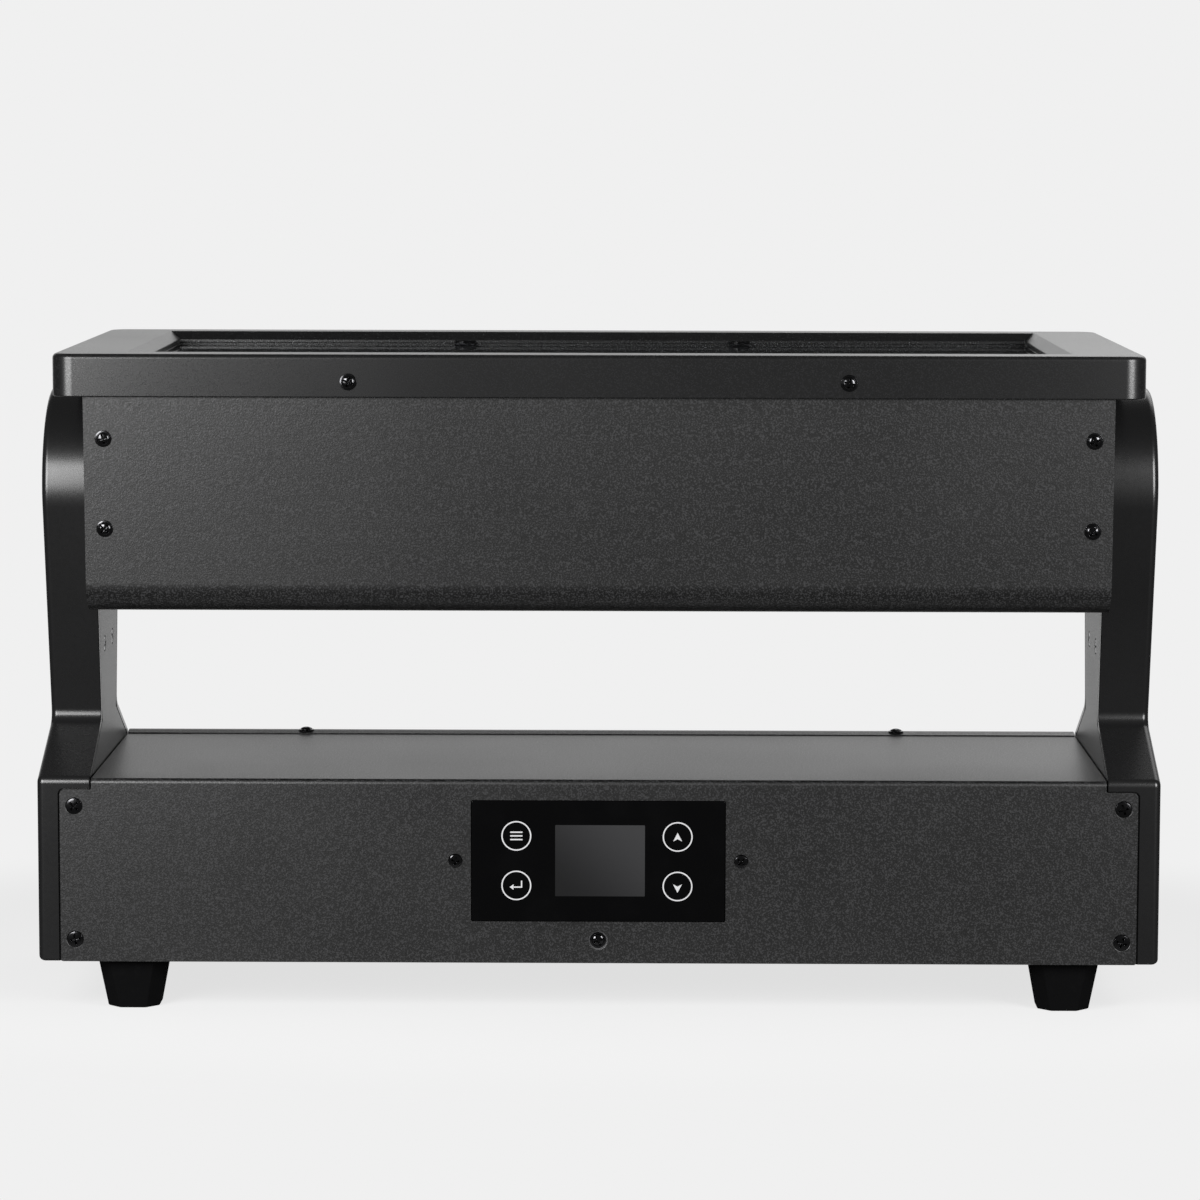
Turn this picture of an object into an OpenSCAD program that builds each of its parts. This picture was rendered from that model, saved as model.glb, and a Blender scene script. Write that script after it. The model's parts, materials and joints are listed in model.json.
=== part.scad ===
// Tilting light head on a low control base.
// X runs across the front, -Y is the front and +Z is up.
// The origin is on the floor, under the middle of the object.

/* [Overall] */
// Width over the two arm shells at the base
overall_w = 438.6; // [410:0.2:480]
// Depth of the base
base_d = 134; // [126:1:150]
// Height of the base without its feet
base_h = 72.4; // [70:0.2:84]
// Height of a foot
foot_h = 20; // [16:0.5:26]

/* [Base casing] */
// Thickness of the folded sheets
sheet_t = 1.5; // [1.2:0.1:2]
// Outer radius of the fold between the front and the top
top_fold_r = 2; // [1.8:0.1:3]
// How far a front or rear ear reaches over its arm shell
ear_reach = 12; // [10.5:0.1:13]
// Distance from the top of the base down to an ear
ear_drop = 4; // [3:0.1:6]
// Depth of the rear panel's lip that lies on the top
rear_lip_d = 8; // [7:0.1:12]
// Thickness of the bottom plate
bottom_t = 2; // [1.6:0.1:2.4]
// Gap between a sheet's edge and what it meets
sheet_gap = 0.1; // [0.05:0.05:0.2]
// Gap between the base's top sheet and an arm frame
seam_gap = 0.6; // [0.3:0.1:1]

/* [Arms] */
// Thickness of an arm with its frame, at the base
arm_w = 20.7; // [20:0.1:24]
// How much further out an arm stands at the tilt axis
arm_bulge = 0.5; // [0.5:0.1:3]
// How much an arm narrows at its waist
waist_dip = 0.6; // [0.2:0.1:1]
// Radius of an arm's round top
arm_top_r = 40; // [36:0.5:42]
// Height of the waist above the base
waist_over_base = 18.4; // [16:0.1:20]
// Half the depth of the waist
waist_half_d = 26; // [25:0.1:29]
// Wall of an arm shell
shell_wall = 2.5; // [2:0.1:2.8]
// Thickness of an arm frame
frame_t = 2; // [1.6:0.1:2.2]
// Gap between an arm frame and the lip of its shell
plate_gap = 0.5; // [0.3:0.1:0.8]
// Distance between the two screws of an arm frame
arm_screw_pitch = 25; // [22:0.5:25.5]
// Height of those screws above the base
arm_screw_over_base = 46.6; // [44:0.2:50]

/* [Head casing] */
// Gap between the head and an arm frame
side_gap = 2.5; // [0.6:0.1:3]
// Gap between the bezel and an arm's round top
bezel_gap = 1.1; // [0.6:0.1:2]
// Gap between the turned head and an arm's slope
swing_gap = 0.7; // [0.5:0.1:3]
// Height of the bezel
bezel_h = 16.4; // [16.4:0.1:22]
// Depth of the bezel
bezel_d = 195; // [186:0.5:205]
// How far the bezel reaches past the head's end
bezel_overhang = 12.1; // [9:0.1:13]
// Radius of the bezel's upright corners
bezel_corner_r = 8.5; // [4:0.1:10]
// Wall of the bezel's skirt
bezel_wall = 1.5; // [1.2:0.1:2.5]
// Height from the tilt axis down to the head's bottom
head_drop = 42; // [38.5:0.5:43]
// How much the front panel leans in towards the bottom
panel_taper = 5; // [1:0.1:7]
// Outer radius of the fold at the head's bottom
fold_r = 12; // [8:0.5:14]
// How far the panels reach up inside the bezel
panel_tuck = 10; // [9:0.2:12]
// Thickness of a head end plate
end_plate_t = 2; // [1.6:0.1:2.4]
// Depth of an end plate's screw flange
end_flange_d = 12; // [11:0.5:14]

/* [Window] */
// Width of the rim at the window's sides
rim_side = 27.4; // [25:0.1:32]
// Width of the rim at the window's front and back
rim_front = 16; // [14:0.1:20]
// Width of the bevel round the window
bevel_w = 4; // [3:0.1:5]
// Height of the bevel round the window
bevel_h = 3.2; // [2.5:0.1:3.4]
// Height from the rim down to the glass
glass_drop = 5.3; // [5:0.1:7]
// Thickness of the window glass
glass_t = 3; // [2.5:0.1:4]
// Thickness of the gasket under the glass
gasket_t = 1; // [0.8:0.1:1.5]
// Width of the ledge that carries the glass
ledge_w = 5; // [4:0.1:7]
// Thickness of that ledge
ledge_t = 2; // [1.5:0.1:2.5]
// Gap round the glass
glass_gap = 0.5; // [0.2:0.1:0.8]
// Width of a glass clip
clip_w = 8.5; // [7:0.1:11]
// Thickness of a glass clip
clip_t = 1.2; // [0.8:0.1:1.6]

/* [Light engine] */
// Height of a reflector
reflector_h = 15.2; // [13:0.1:16]
// Wall of a reflector
reflector_wall = 1.2; // [1:0.1:1.6]
// How much each side of a reflector leans in
reflector_taper = 12; // [8:0.5:16]
// Thickness of a circuit board
board_t = 1.6; // [1.2:0.1:2]
// Distance between neighbouring light emitters
led_pitch = 16; // [14:0.5:18]
// Side of a light emitter
led_side = 3.5; // [2.5:0.1:5]
// Thickness of the heat sink's plate
sink_plate_t = 5; // [3:0.1:5.5]
// Height of a heat sink fin
sink_fin_h = 18; // [12:0.5:24]
// Thickness of a heat sink fin
sink_fin_t = 1.6; // [1.2:0.1:2.5]
// Distance between heat sink fins
sink_fin_pitch = 8; // [6:0.1:12]

/* [Tilt drive] */
// Radius of a hollow tilt hub
hub_r = 10; // [9:0.1:10.5]
// Radius of the cable way through a hub
hub_bore_r = 7; // [5:0.1:8]
// Radius of a hub's flange
hub_flange_r = 21; // [18:0.5:22]
// Thickness of a hub's flange
hub_flange_t = 5; // [3:0.5:6]
// Outer radius of a tilt bearing
bearing_r = 13.5; // [12.8:0.1:14]
// Width of a tilt bearing
bearing_w = 4; // [3.5:0.1:4.2]
// Wall of a bearing housing
housing_wall = 4; // [3:0.1:4.4]
// Running clearance of a hub or shaft, on the radius
run_gap = 0.05; // [0.02:0.01:0.1]
// Pitch of the toothed belt
belt_pitch = 3; // [2.9:0.01:3.05]
// Teeth on the motor's pulley
motor_teeth = 16; // [15:1:17]
// Teeth on the head's pulley
hub_teeth = 48; // [46:1:49]
// Width of the belt
belt_w = 6; // [5:0.1:6.2]
// Thickness of the belt
belt_t = 1.2; // [1:0.1:1.5]
// Thickness of a pulley's flange
pulley_flange_t = 0.8; // [0.6:0.1:0.9]
// Side of the tilt motor
motor_side = 42.3; // [38:0.1:46]
// Length of the tilt motor
motor_len = 34; // [28:0.5:40]
// Radius of the motor shaft
shaft_r = 2.5; // [2:0.1:3]
// Radius of a tilt stop post
stop_r = 3; // [2.5:0.1:3.2]
// Distance of a stop post from the tilt axis
stop_orbit = 22; // [21.5:0.1:23]
// Radius of the disc that carries the stop lug
stop_disc_r = 17; // [15.5:0.1:17.5]

/* [Fans] */
// Side of a head fan
head_fan_side = 80; // [70:1:84]
// Depth of a head fan
head_fan_d = 15; // [12:0.5:18]
// Distance of a head fan from the middle
head_fan_x = 92; // [88:0.5:110]
// Side of the base fan
base_fan_side = 40; // [36:1:46]
// Depth of the base fan
base_fan_d = 10; // [9:0.5:14]
// Blades on a fan rotor
blades = 7; // [5:1:9]
// Radius of a fan's axle
axle_r = 1.5; // [1.2:0.1:2]

/* [Display] */
// Width of the display glass
display_w = 99.2; // [94:0.2:100]
// Height of the display glass
display_h = 47.6; // [44:0.2:50]
// Thickness of the display glass
display_t = 1.2; // [1:0.1:1.4]
// Height of the display's middle above the base's bottom
display_z = 40.4; // [39:0.1:42]
// Width of the screen module
screen_w = 46; // [42:0.5:50]
// Height of the screen module
screen_h = 34; // [32:0.5:38]
// Thickness of the screen module
screen_t = 2.8; // [2:0.1:3.2]

/* [Sockets] */
// Width of a socket's flange
socket_w = 26; // [26:0.5:29]
// Height of a socket's flange
socket_h = 31; // [28:0.5:34]
// Thickness of a socket's flange
socket_flange_t = 2; // [1.5:0.1:2.5]
// How far a socket's collar stands out of the flange
collar_out = 4; // [3:0.5:6]
// Outer radius of a power socket
power_r = 12; // [11.5:0.1:12.4]
// Radius of the cup in a power socket
power_cup_r = 9.5; // [8.5:0.1:10]
// Outer radius of a data socket
data_r = 11; // [10:0.1:11.5]
// Radius of the cup in the data inlet
data_cup_r = 8.2; // [7.5:0.1:9]
// Depth of a socket's cup
cup_d = 14; // [12:0.5:16]
// Distance of the outer sockets from an arm's inner face
socket_end = 48.6; // [44:0.2:56]
// Distance between a socket and the next
socket_pitch = 38; // [34:1:42]

/* [Mounting] */
// Distance between rigging holes along the base
rig_x = 200; // [160:1:210]
// Distance between rigging holes across the base
rig_y = 60; // [50:1:66]
// Radius of a rigging hole
rig_hole_r = 3.4; // [2.5:0.1:4]
// Radius of the hole in the safety eye
eye_r = 6; // [5:0.1:7]
// Thickness of the safety eye
eye_t = 3; // [2.5:0.1:4]

/* [Feet] */
// Side of a foot where it meets the base
foot_top_w = 27.5; // [24:0.5:30]
// Side of a foot on the floor
foot_bottom_w = 20.5; // [18:0.5:23]
// Width of the cut across a foot's corners
foot_cut = 4.8; // [2:0.1:6]
// Distance of a foot's middle from the side of the base
foot_side_inset = 36; // [35.5:0.1:46]
// Distance of a foot's front face from the base's front
foot_inset = 4; // [3:0.5:16]

/* [Screws] */
// Radius of a screw's shank
screw_r = 1.5; // [1.2:0.1:1.8]
// Radius of a domed screw head
dome_r = 3.5; // [2.6:0.1:3.5]
// Height of a domed screw head
dome_h = 1.5; // [1:0.1:2]
// Radius of a countersunk screw head
sunk_r = 3.2; // [2.8:0.1:3.4]
// Radius of the smaller countersunk heads beside the display
small_sunk_r = 2.7; // [2.5:0.1:3.2]
// Depth of a countersunk screw head
sunk_h = 1.3; // [1:0.1:1.4]
// Gap round a screw in its hole
screw_gap = 0.1; // [0.05:0.05:0.2]

/* [Hidden] */
$fn = 64;

// Width planes of the stand
outer_half = overall_w / 2;
inner_half = outer_half - arm_w;
frame_x = inner_half + frame_t;
base_half_d = base_d / 2;

// Heights of the stand
base_z0 = foot_h;
base_z1 = base_z0 + base_h;
floor_z = base_z0 + bottom_t;
waist_z = base_z1 + waist_over_base;

// Heights of the head, counted from the tilt axis
under_bezel = arm_top_r + bezel_gap;
head_top = under_bezel + bezel_h;
glass_top = head_top - glass_drop;
ledge_top = glass_top - glass_t - gasket_t;
ledge_bottom = ledge_top - ledge_t;
board_top = ledge_bottom - sheet_gap - reflector_h;
sink_top = board_top - board_t;

// The tilt axis is as low as the turned bezel allows over the arms' slopes
slope_at_bezel = waist_over_base * (base_half_d - under_bezel) / (base_half_d - waist_half_d);
axis_z = base_z1 + bezel_d / 2 + slope_at_bezel + swing_gap;

// How far a straight side ends inside the arc that it runs into
tangent_tuck = 0.01;
// How far a cut runs past what it cuts
past = 1;

// Side outline of an arm
arm_rise = axis_z - waist_z;
arm_lean = asin(arm_top_r / norm([waist_half_d, arm_rise])) - atan(waist_half_d / arm_rise);
slope_angle = atan(waist_over_base / (base_half_d - waist_half_d));

// Head body
head_half = inner_half - side_gap;
bezel_half_w = head_half + bezel_overhang;
bezel_half_d = bezel_d / 2;
panel_y = bezel_half_d - bezel_wall - sheet_gap;
panel_lean = atan(panel_taper / (under_bezel + head_drop));
fold_z = fold_r - head_drop;
fold_y = panel_y - (under_bezel - fold_z) * tan(panel_lean) - fold_r / cos(panel_lean);
plate_inset = sheet_t + sheet_gap;
end_x = head_half - end_plate_t;
head_floor = sheet_t - head_drop;

// Window
window_half_w = bezel_half_w - rim_side;
window_half_d = bezel_half_d - rim_front;
well_half_w = window_half_w - bevel_w;
well_half_d = window_half_d - bevel_w;
throat_half_w = well_half_w - ledge_w;
throat_half_d = well_half_d - ledge_w;
well_wall = 2;
bezel_top_t = bevel_h + 0.4;
skirt_gap = 0.5;
cell_pitch = 2 * throat_half_w / 3;
cell_gap = 0.6;
cell_half_w = cell_pitch / 2 - cell_gap / 2;
board_margin = 2;
led_h = 1;
clip_h = 4;

// Tilt drive
housing_w = bearing_w + 1.5;
housing_r = bearing_r + housing_wall;
seat_gap = 0.02;
pulley_x = frame_x + housing_w + 0.9;
pulley_w = belt_w + 0.2 + 2 * pulley_flange_t;
tooth_depth = 1.1;
pitch_line = 0.38;
motor_tip_r = belt_pitch * motor_teeth / (2 * PI) - pitch_line;
hub_tip_r = belt_pitch * hub_teeth / (2 * PI) - pitch_line;
belt_gap = 0.15;
flange_rise = 0.4;
motor_z = (base_z0 + base_z1) / 2;
screen_x = 0.7;
fan_rim = 1.5;
fan_hub_share = 0.22;
tip_gap = 0.8;
axle_short = 1;
motor_boss_r = 11;
motor_boss_h = 1.6;
boss_gap = 0.2;
hub_way = 1.5;
shaft_in = 20;
belt_low_r = motor_tip_r + belt_gap;
belt_high_r = hub_tip_r + belt_gap;
belt_lean = asin((belt_high_r - belt_low_r) / (axis_z - motor_z));
frame_foot_w = 10.5;
frame_foot_half_d = 40;
stop_angle = 2 * asin(stop_r / stop_orbit) + 0.8;
post_end = pulley_x + pulley_w;
stop_disc_t = 3;

// Screw places
head_screw_x = head_half - 7.6;
head_screw_drops = [16, 50.6];
bezel_screw_x = 95;
bezel_screw_up = 6;
ear_screw_x = inner_half + 6.2;
ear_screw_heights = [8.7, 61.4];
display_screw_x = 55.8;
low_screw_h = 8.9;
lip_screw_x = 123.5;
lip_t = 1.2;
arm_screw_z = base_z1 + arm_screw_over_base;
rail_d = 7.5;
rail_gap = 0.2;
screw_l = 7;
cross_depth = 0.9;
flush = 0.1;
recess_gap = 0.3;

// Base contents
front_y = -base_half_d;
inside_y = base_half_d - sheet_t;
stand_off = 10;
psu_size = [130, 88, 35];
psu_x = -100;
driver_size = [120, 76];
driver_x = 60;
glass_sink = 0.3;
glass_edge_gap = 0.2;
display_board_y = front_y + sheet_t + screen_t + 0.4;
fuse_x = 76;
fuse_d = 17;
fuse_wall = 3;
fuse_rim = 2;
mouth_out = socket_flange_t + collar_out;
cup_floor = mouth_out - cup_d;
cup_floor_t = 4;
socket_corner_r = 2.5;
socket_screw_in = 3;
pin_root = 1;
pin_r = 0.9;
pin_orbit = 4.6;
latch_gap = 0.1;
latch_slot_d = 10;
socket_far_x = inner_half - socket_end;
socket_near_x = socket_far_x - socket_pitch;
eye_x = -62;
foot_x = outer_half - foot_side_inset;
foot_y = base_half_d - foot_inset - foot_top_w / 2;
foot_screw_r = 2;
foot_recess_r = 4.6;
foot_recess_d = 8;
insert_r = 5.5;
insert_flange = 2;
insert_up = 6;
latch_w = 7;
latch_h = 3;
latch_up = 6.6;
fuse_r = 7;
fuse_bore_r = 5.2;

// Extrudes a Y-Z outline from x0 to x1
module along_x(x0, x1) {
    translate([x0, 0, 0]) rotate([90, 0, 90]) linear_extrude(x1 - x0) children();
}

// Extrudes an X-Z outline from y0 to y1
module along_y(y0, y1) {
    translate([0, y1, 0]) rotate([90, 0, 0]) linear_extrude(y1 - y0) children();
}

// Puts a piece of the head, made about the tilt axis, in its place
module at_axis() {
    translate([0, 0, axis_z]) children();
}

// A piece made for the right side, drawn on the left
module left() {
    mirror([1, 0, 0]) children();
}

// A piece on both sides of the middle plane
module both_sides() {
    children();
    mirror([1, 0, 0]) children();
}

// A piece at the front and its twin at the back
module both_faces() {
    children();
    mirror([0, 1, 0]) children();
}

module rounded_rect(w, d, r) {
    square([w - 2 * r, d], center = true);
    square([w, d - 2 * r], center = true);
    for (x = [-1, 1], y = [-1, 1])
        translate([x * (w / 2 - r), y * (d / 2 - r)]) circle(r = r);
}

module box(half_w, half_d, z0, z1) {
    translate([-half_w, -half_d, z0]) cube([2 * half_w, 2 * half_d, z1 - z0]);
}

// Cross recess of a screw head whose top is at z = 0
module cross_recess(r) {
    for (a = [0, 90])
        rotate([0, 0, a])
            translate([-r * 0.55, -r * 0.13, -cross_depth])
                cube([r * 1.1, r * 0.26, cross_depth + past]);
}

// Screw with a domed head on the plane z = 0 and its shank below
module domed_screw(length) {
    difference() {
        union() {
            cylinder(r = dome_r, h = dome_h * 0.6);
            translate([0, 0, dome_h * 0.6])
                cylinder(r1 = dome_r, r2 = dome_r * 0.7, h = dome_h * 0.4);
        }
        translate([0, 0, dome_h]) cross_recess(dome_r);
    }
    translate([0, 0, -length]) cylinder(r = screw_r, h = length);
}

// Screw whose countersunk head is flush with the plane z = 0
module sunk_screw(length, head_r = sunk_r) {
    difference() {
        translate([0, 0, -sunk_h - flush]) cylinder(r1 = screw_r, r2 = head_r, h = sunk_h);
        translate([0, 0, -flush]) cross_recess(head_r);
    }
    translate([0, 0, -length]) cylinder(r = screw_r, h = length - sunk_h - flush);
}

// Hole for a countersunk screw in a sheet whose face is the plane z = 0
module sunk_hole(length, head_r = sunk_r) {
    translate([0, 0, -sunk_h - flush])
        cylinder(r1 = screw_r + screw_gap, r2 = head_r + screw_gap, h = sunk_h);
    translate([0, 0, -flush - 0.01]) cylinder(r = head_r + screw_gap, h = 1);
    translate([0, 0, -length]) cylinder(r = screw_r + screw_gap, h = length);
}

module screw_hole(length) {
    translate([0, 0, -length]) cylinder(r = screw_r + screw_gap, h = length + past);
}

// Place of the screws in the front panel of the head, right half
module head_screw_places() {
    for (drop = head_screw_drops)
        translate([head_screw_x, drop * tan(panel_lean) - panel_y, under_bezel - drop])
            rotate([90 + panel_lean, 0, 0]) children();
}

module bezel_screw_places() {
    translate([bezel_screw_x, -bezel_half_d, under_bezel + bezel_screw_up])
        rotate([90, 0, 0]) children();
}

// Place of the two ear screws at the front right corner
module ear_screw_places() {
    for (h = ear_screw_heights)
        translate([ear_screw_x, front_y, base_z0 + h]) rotate([90, 0, 0]) children();
}

// Place of the two screws beside the display
module display_screw_places() {
    both_sides() translate([display_screw_x, front_y, base_z0 + display_z])
        rotate([90, 0, 0]) children();
}

module low_screw_place() {
    translate([0, front_y, base_z0 + low_screw_h]) rotate([90, 0, 0]) children();
}

module lip_screw_place() {
    translate([lip_screw_x, base_half_d - rear_lip_d / 2, base_z1 + lip_t]) children();
}

// Place of the two screws through the right arm frame, facing inwards
module arm_screw_places() {
    for (y = [-1, 1])
        translate([inner_half, y * arm_screw_pitch / 2, arm_screw_z])
            rotate([0, -90, 0]) children();
}

// Point where the line from p along d meets the line from q along e
function meet(p, d, q, e) = p + d * cross(q - p, e) / cross(d, e);
function mirrored(points) = [for (i = [len(points) - 1:-1:0]) [-points[i][0], points[i][1]]];

// Side outline of an arm and its cheek, set in by inset, with its bottom at z0
module arm_outline(inset, z0) {
    waist = [waist_half_d, waist_z];
    up = [sin(arm_lean), cos(arm_lean)];
    down = [cos(slope_angle), -sin(slope_angle)];
    up_from = waist + inset * [-up[1], up[0]];
    down_from = waist + inset * [down[1], -down[0]];
    side = [base_half_d - inset, 0];
    r = arm_top_r - inset;
    end_r = r - tangent_tuck;
    half = [[side[0], z0], meet(side, [0, 1], down_from, down),
        meet(up_from, up, down_from, down),
        [end_r * cos(arm_lean), axis_z - end_r * sin(arm_lean)]];
    polygon(concat(half, mirrored(half)));
    translate([0, axis_z]) circle(r = r);
}

// Front outline of the right arm, set in by inset on its outer side
module arm_front_outline(inset, x0) {
    top = axis_z + arm_top_r + past;
    polygon([[x0, base_z0 - past], [outer_half - inset, base_z0 - past], [outer_half - inset, base_z1],
        [outer_half - waist_dip - inset, waist_z], [outer_half + arm_bulge - inset, axis_z],
        [outer_half + arm_bulge - inset, top], [x0, top]]);
}

module arm_solid() {
    intersection() {
        along_x(inner_half, outer_half + arm_bulge) arm_outline(0, base_z0);
        along_y(-base_half_d, base_half_d) arm_front_outline(0, inner_half);
    }
}

module arm_hollow() {
    intersection() {
        along_x(inner_half - past, outer_half + arm_bulge) arm_outline(shell_wall, floor_z);
        along_y(-base_half_d, base_half_d) arm_front_outline(shell_wall, inner_half - past);
    }
}

// Recess at the front of the cheek for the ear of the front sheet
module ear_recess() {
    translate([inner_half - past, front_y - past, base_z0 - past])
        cube([ear_reach + past + 2 * sheet_gap, sheet_t + past + sheet_gap,
            base_h - ear_drop + past + sheet_gap]);
}

// Rail behind the ear that takes the ear's screws
module ear_rail() {
    translate([frame_x + rail_gap, front_y + sheet_t + sheet_gap, floor_z - bottom_t / 4])
        cube([ear_reach, rail_d, base_h - bottom_t - ear_drop]);
}

module arm_shell() {
    color([0.07, 0.07, 0.075])
        difference() {
            union() {
                difference() {
                    arm_solid();
                    arm_hollow();
                }
                intersection() {
                    arm_solid();
                    union() {
                        both_faces() ear_rail();
                        translate([frame_x - inner_half, 0, 0]) arm_screw_places()
                            translate([0, 0, -arm_w - arm_bulge]) cylinder(r = stop_r, h = arm_w + arm_bulge);
                    }
                }
            }
            both_faces() ear_recess();
            both_faces() ear_screw_places() screw_hole(rail_d);
            arm_screw_places() screw_hole(screw_l + frame_t);
        }
}

module arm_frame() {
    color([0.16, 0.16, 0.17])
        difference() {
            union() {
                along_x(inner_half, frame_x) arm_outline(shell_wall + plate_gap, floor_z);
                translate([inner_half - frame_foot_w, -frame_foot_half_d, floor_z])
                    cube([frame_foot_w + frame_t / 2, 2 * frame_foot_half_d, frame_t]);
            }
            translate([inner_half - past, 0, axis_z]) rotate([0, 90, 0])
                cylinder(r = hub_r + hub_way, h = frame_t + 2 * past);
            translate([inner_half - past, 0, motor_z]) rotate([0, 90, 0])
                cylinder(r = motor_boss_r + boss_gap, h = frame_t + 2 * past);
            arm_screw_places() sunk_hole(frame_t + past);
        }
}

module ring_x(x0, x1, r_out, r_in) {
    translate([x0, 0, 0]) rotate([0, 90, 0]) difference() {
        cylinder(r = r_out, h = x1 - x0);
        translate([0, 0, -past]) cylinder(r = r_in, h = x1 - x0 + 2 * past);
    }
}

module bearing_housing() {
    color([0.55, 0.56, 0.58])
        at_axis() ring_x(frame_x, frame_x + housing_w, housing_r, bearing_r + seat_gap);
}

module tilt_bearing() {
    shield_x = frame_x + 0.5;
    shield_depth = 0.3;
    land = 1;
    color([0.75, 0.76, 0.78])
        at_axis() difference() {
            ring_x(shield_x, shield_x + bearing_w, bearing_r, hub_r + run_gap);
            for (x = [shield_x - past, shield_x + bearing_w - shield_depth])
                ring_x(x, x + past + shield_depth, bearing_r - land, hub_r + land);
        }
}

// Hollow hub on the end plate of the head, running out through the bearing
module tilt_hub(tip_x) {
    color([0.6, 0.61, 0.63])
        at_axis() rotate([0, 90, 0]) difference() {
            union() {
                translate([0, 0, end_x - hub_flange_t]) cylinder(r = hub_flange_r, h = hub_flange_t);
                translate([0, 0, end_x - past]) cylinder(r = hub_r, h = tip_x - end_x + past);
            }
            translate([0, 0, end_x - hub_flange_t - past])
                cylinder(r = hub_bore_r, h = tip_x - end_x + hub_flange_t + 2 * past);
        }
}

// Outline of a toothed pulley with its tips on the radius r
module toothed(teeth, r) {
    step = 360 / teeth;
    polygon([for (i = [0:teeth - 1], p = [[0, 0], [0.5, 0], [0.58, 1], [0.92, 1]])
        let (a = (i + p[0]) * step, rr = r - p[1] * tooth_depth) [rr * cos(a), rr * sin(a)]]);
}

// Toothed pulley with two flanges, standing on z = 0
module pulley(teeth, tip_r, bore_r) {
    difference() {
        union() {
            linear_extrude(pulley_w) toothed(teeth, tip_r);
            for (z = [0, pulley_w - pulley_flange_t])
                translate([0, 0, z]) cylinder(r = tip_r + belt_t + flange_rise, h = pulley_flange_t);
        }
        translate([0, 0, -past]) cylinder(r = bore_r, h = pulley_w + 2 * past);
    }
}

module driven_pulley() {
    color([0.72, 0.73, 0.75])
        at_axis() translate([pulley_x, 0, 0]) rotate([0, 90, 0])
            pulley(hub_teeth, hub_tip_r, hub_r + seat_gap);
}

module motor_pulley() {
    color([0.72, 0.73, 0.75])
        translate([0, 0, motor_z]) rotate([0, 90, 0]) {
            translate([0, 0, pulley_x]) pulley(motor_teeth, motor_tip_r, shaft_r / 2);
            translate([0, 0, inner_half - shaft_in])
                cylinder(r = shaft_r, h = pulley_x + pulley_w - inner_half + shaft_in);
        }
}

// Outline of the belt's loop, grown outwards by grow
module belt_loop(grow) {
    side = [cos(belt_lean), -sin(belt_lean)];
    low = [0, motor_z];
    high = [0, axis_z];
    tuck = grow - tangent_tuck;
    half = [low + (belt_low_r + tuck) * side, high + (belt_high_r + tuck) * side];
    translate(low) circle(r = belt_low_r + grow);
    translate(high) circle(r = belt_high_r + grow);
    polygon(concat(half, mirrored(half)));
}

module tilt_belt() {
    belt_x = pulley_x + pulley_flange_t + 0.1;
    color([0.08, 0.08, 0.08])
        along_x(belt_x, belt_x + belt_w) difference() {
            belt_loop(belt_t);
            belt_loop(0);
        }
}

module tilt_motor() {
    end_cap = 8;
    core_step = 1.2;
    color([0.35, 0.36, 0.38])
        translate([0, 0, motor_z]) rotate([0, 90, 0]) difference() {
            union() {
                for (z = [inner_half - motor_len, inner_half - end_cap])
                    translate([0, 0, z]) linear_extrude(end_cap)
                        rounded_rect(motor_side, motor_side, 3.5);
                translate([0, 0, inner_half - motor_len + end_cap])
                    linear_extrude(motor_len - 2 * end_cap)
                        rounded_rect(motor_side - core_step, motor_side - core_step, 7);
                translate([0, 0, inner_half]) cylinder(r = motor_boss_r, h = motor_boss_h);
            }
            translate([0, 0, inner_half - shaft_in - 0.5])
                cylinder(r = shaft_r + run_gap, h = shaft_in + motor_boss_h + past);
        }
}

// Disc on the left hub whose lug meets a post at each end of the travel
module stop_disc() {
    color([0.5, 0.51, 0.53])
        left() at_axis() difference() {
            along_x(pulley_x, pulley_x + stop_disc_t) {
                circle(r = stop_disc_r);
                translate([-stop_r, 0]) square([2 * stop_r, stop_orbit]);
                translate([0, stop_orbit]) circle(r = stop_r);
            }
            translate([pulley_x - past, 0, 0]) rotate([0, 90, 0])
                cylinder(r = hub_r + seat_gap, h = stop_disc_t + 2 * past);
        }
}

module tilt_stop_posts() {
    color([0.6, 0.6, 0.62])
        left() at_axis() for (a = [-stop_angle, 180 + stop_angle])
            translate([frame_x, stop_orbit * cos(a), stop_orbit * sin(a)]) rotate([0, 90, 0])
                cylinder(r = stop_r, h = post_end - frame_x);
}

module tilt_sensor_board() {
    spacer_h = 3;
    spacer_y = 6;
    board_w = 20;
    board_h = 15;
    sensor = [2.2, 6, 4];
    board_z = -stop_orbit - board_h - 2;
    color([0.1, 0.3, 0.16])
        left() at_axis() {
            translate([frame_x + spacer_h, -board_w / 2, board_z]) cube([board_t, board_w, board_h]);
            for (y = [-spacer_y, spacer_y])
                translate([frame_x, y, board_z + 4]) rotate([0, 90, 0])
                    cylinder(r = 2, h = spacer_h);
            translate([frame_x + spacer_h + board_t, -sensor[1] / 2, board_z + board_h - sensor[2]])
                cube(sensor);
        }
}

// Cross outline of the head's casing, set in by inset, open height up to top
module head_section(inset, top) {
    r = fold_r - inset;
    end_r = r - tangent_tuck;
    half = [[fold_y, fold_z - r],
        [fold_y + end_r * cos(panel_lean), fold_z - end_r * sin(panel_lean)],
        [panel_y - inset, under_bezel], [panel_y - inset, top]];
    polygon(concat(half, mirrored(half)));
    for (s = [-1, 1]) translate([s * fold_y, fold_z]) circle(r = r);
}

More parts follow.
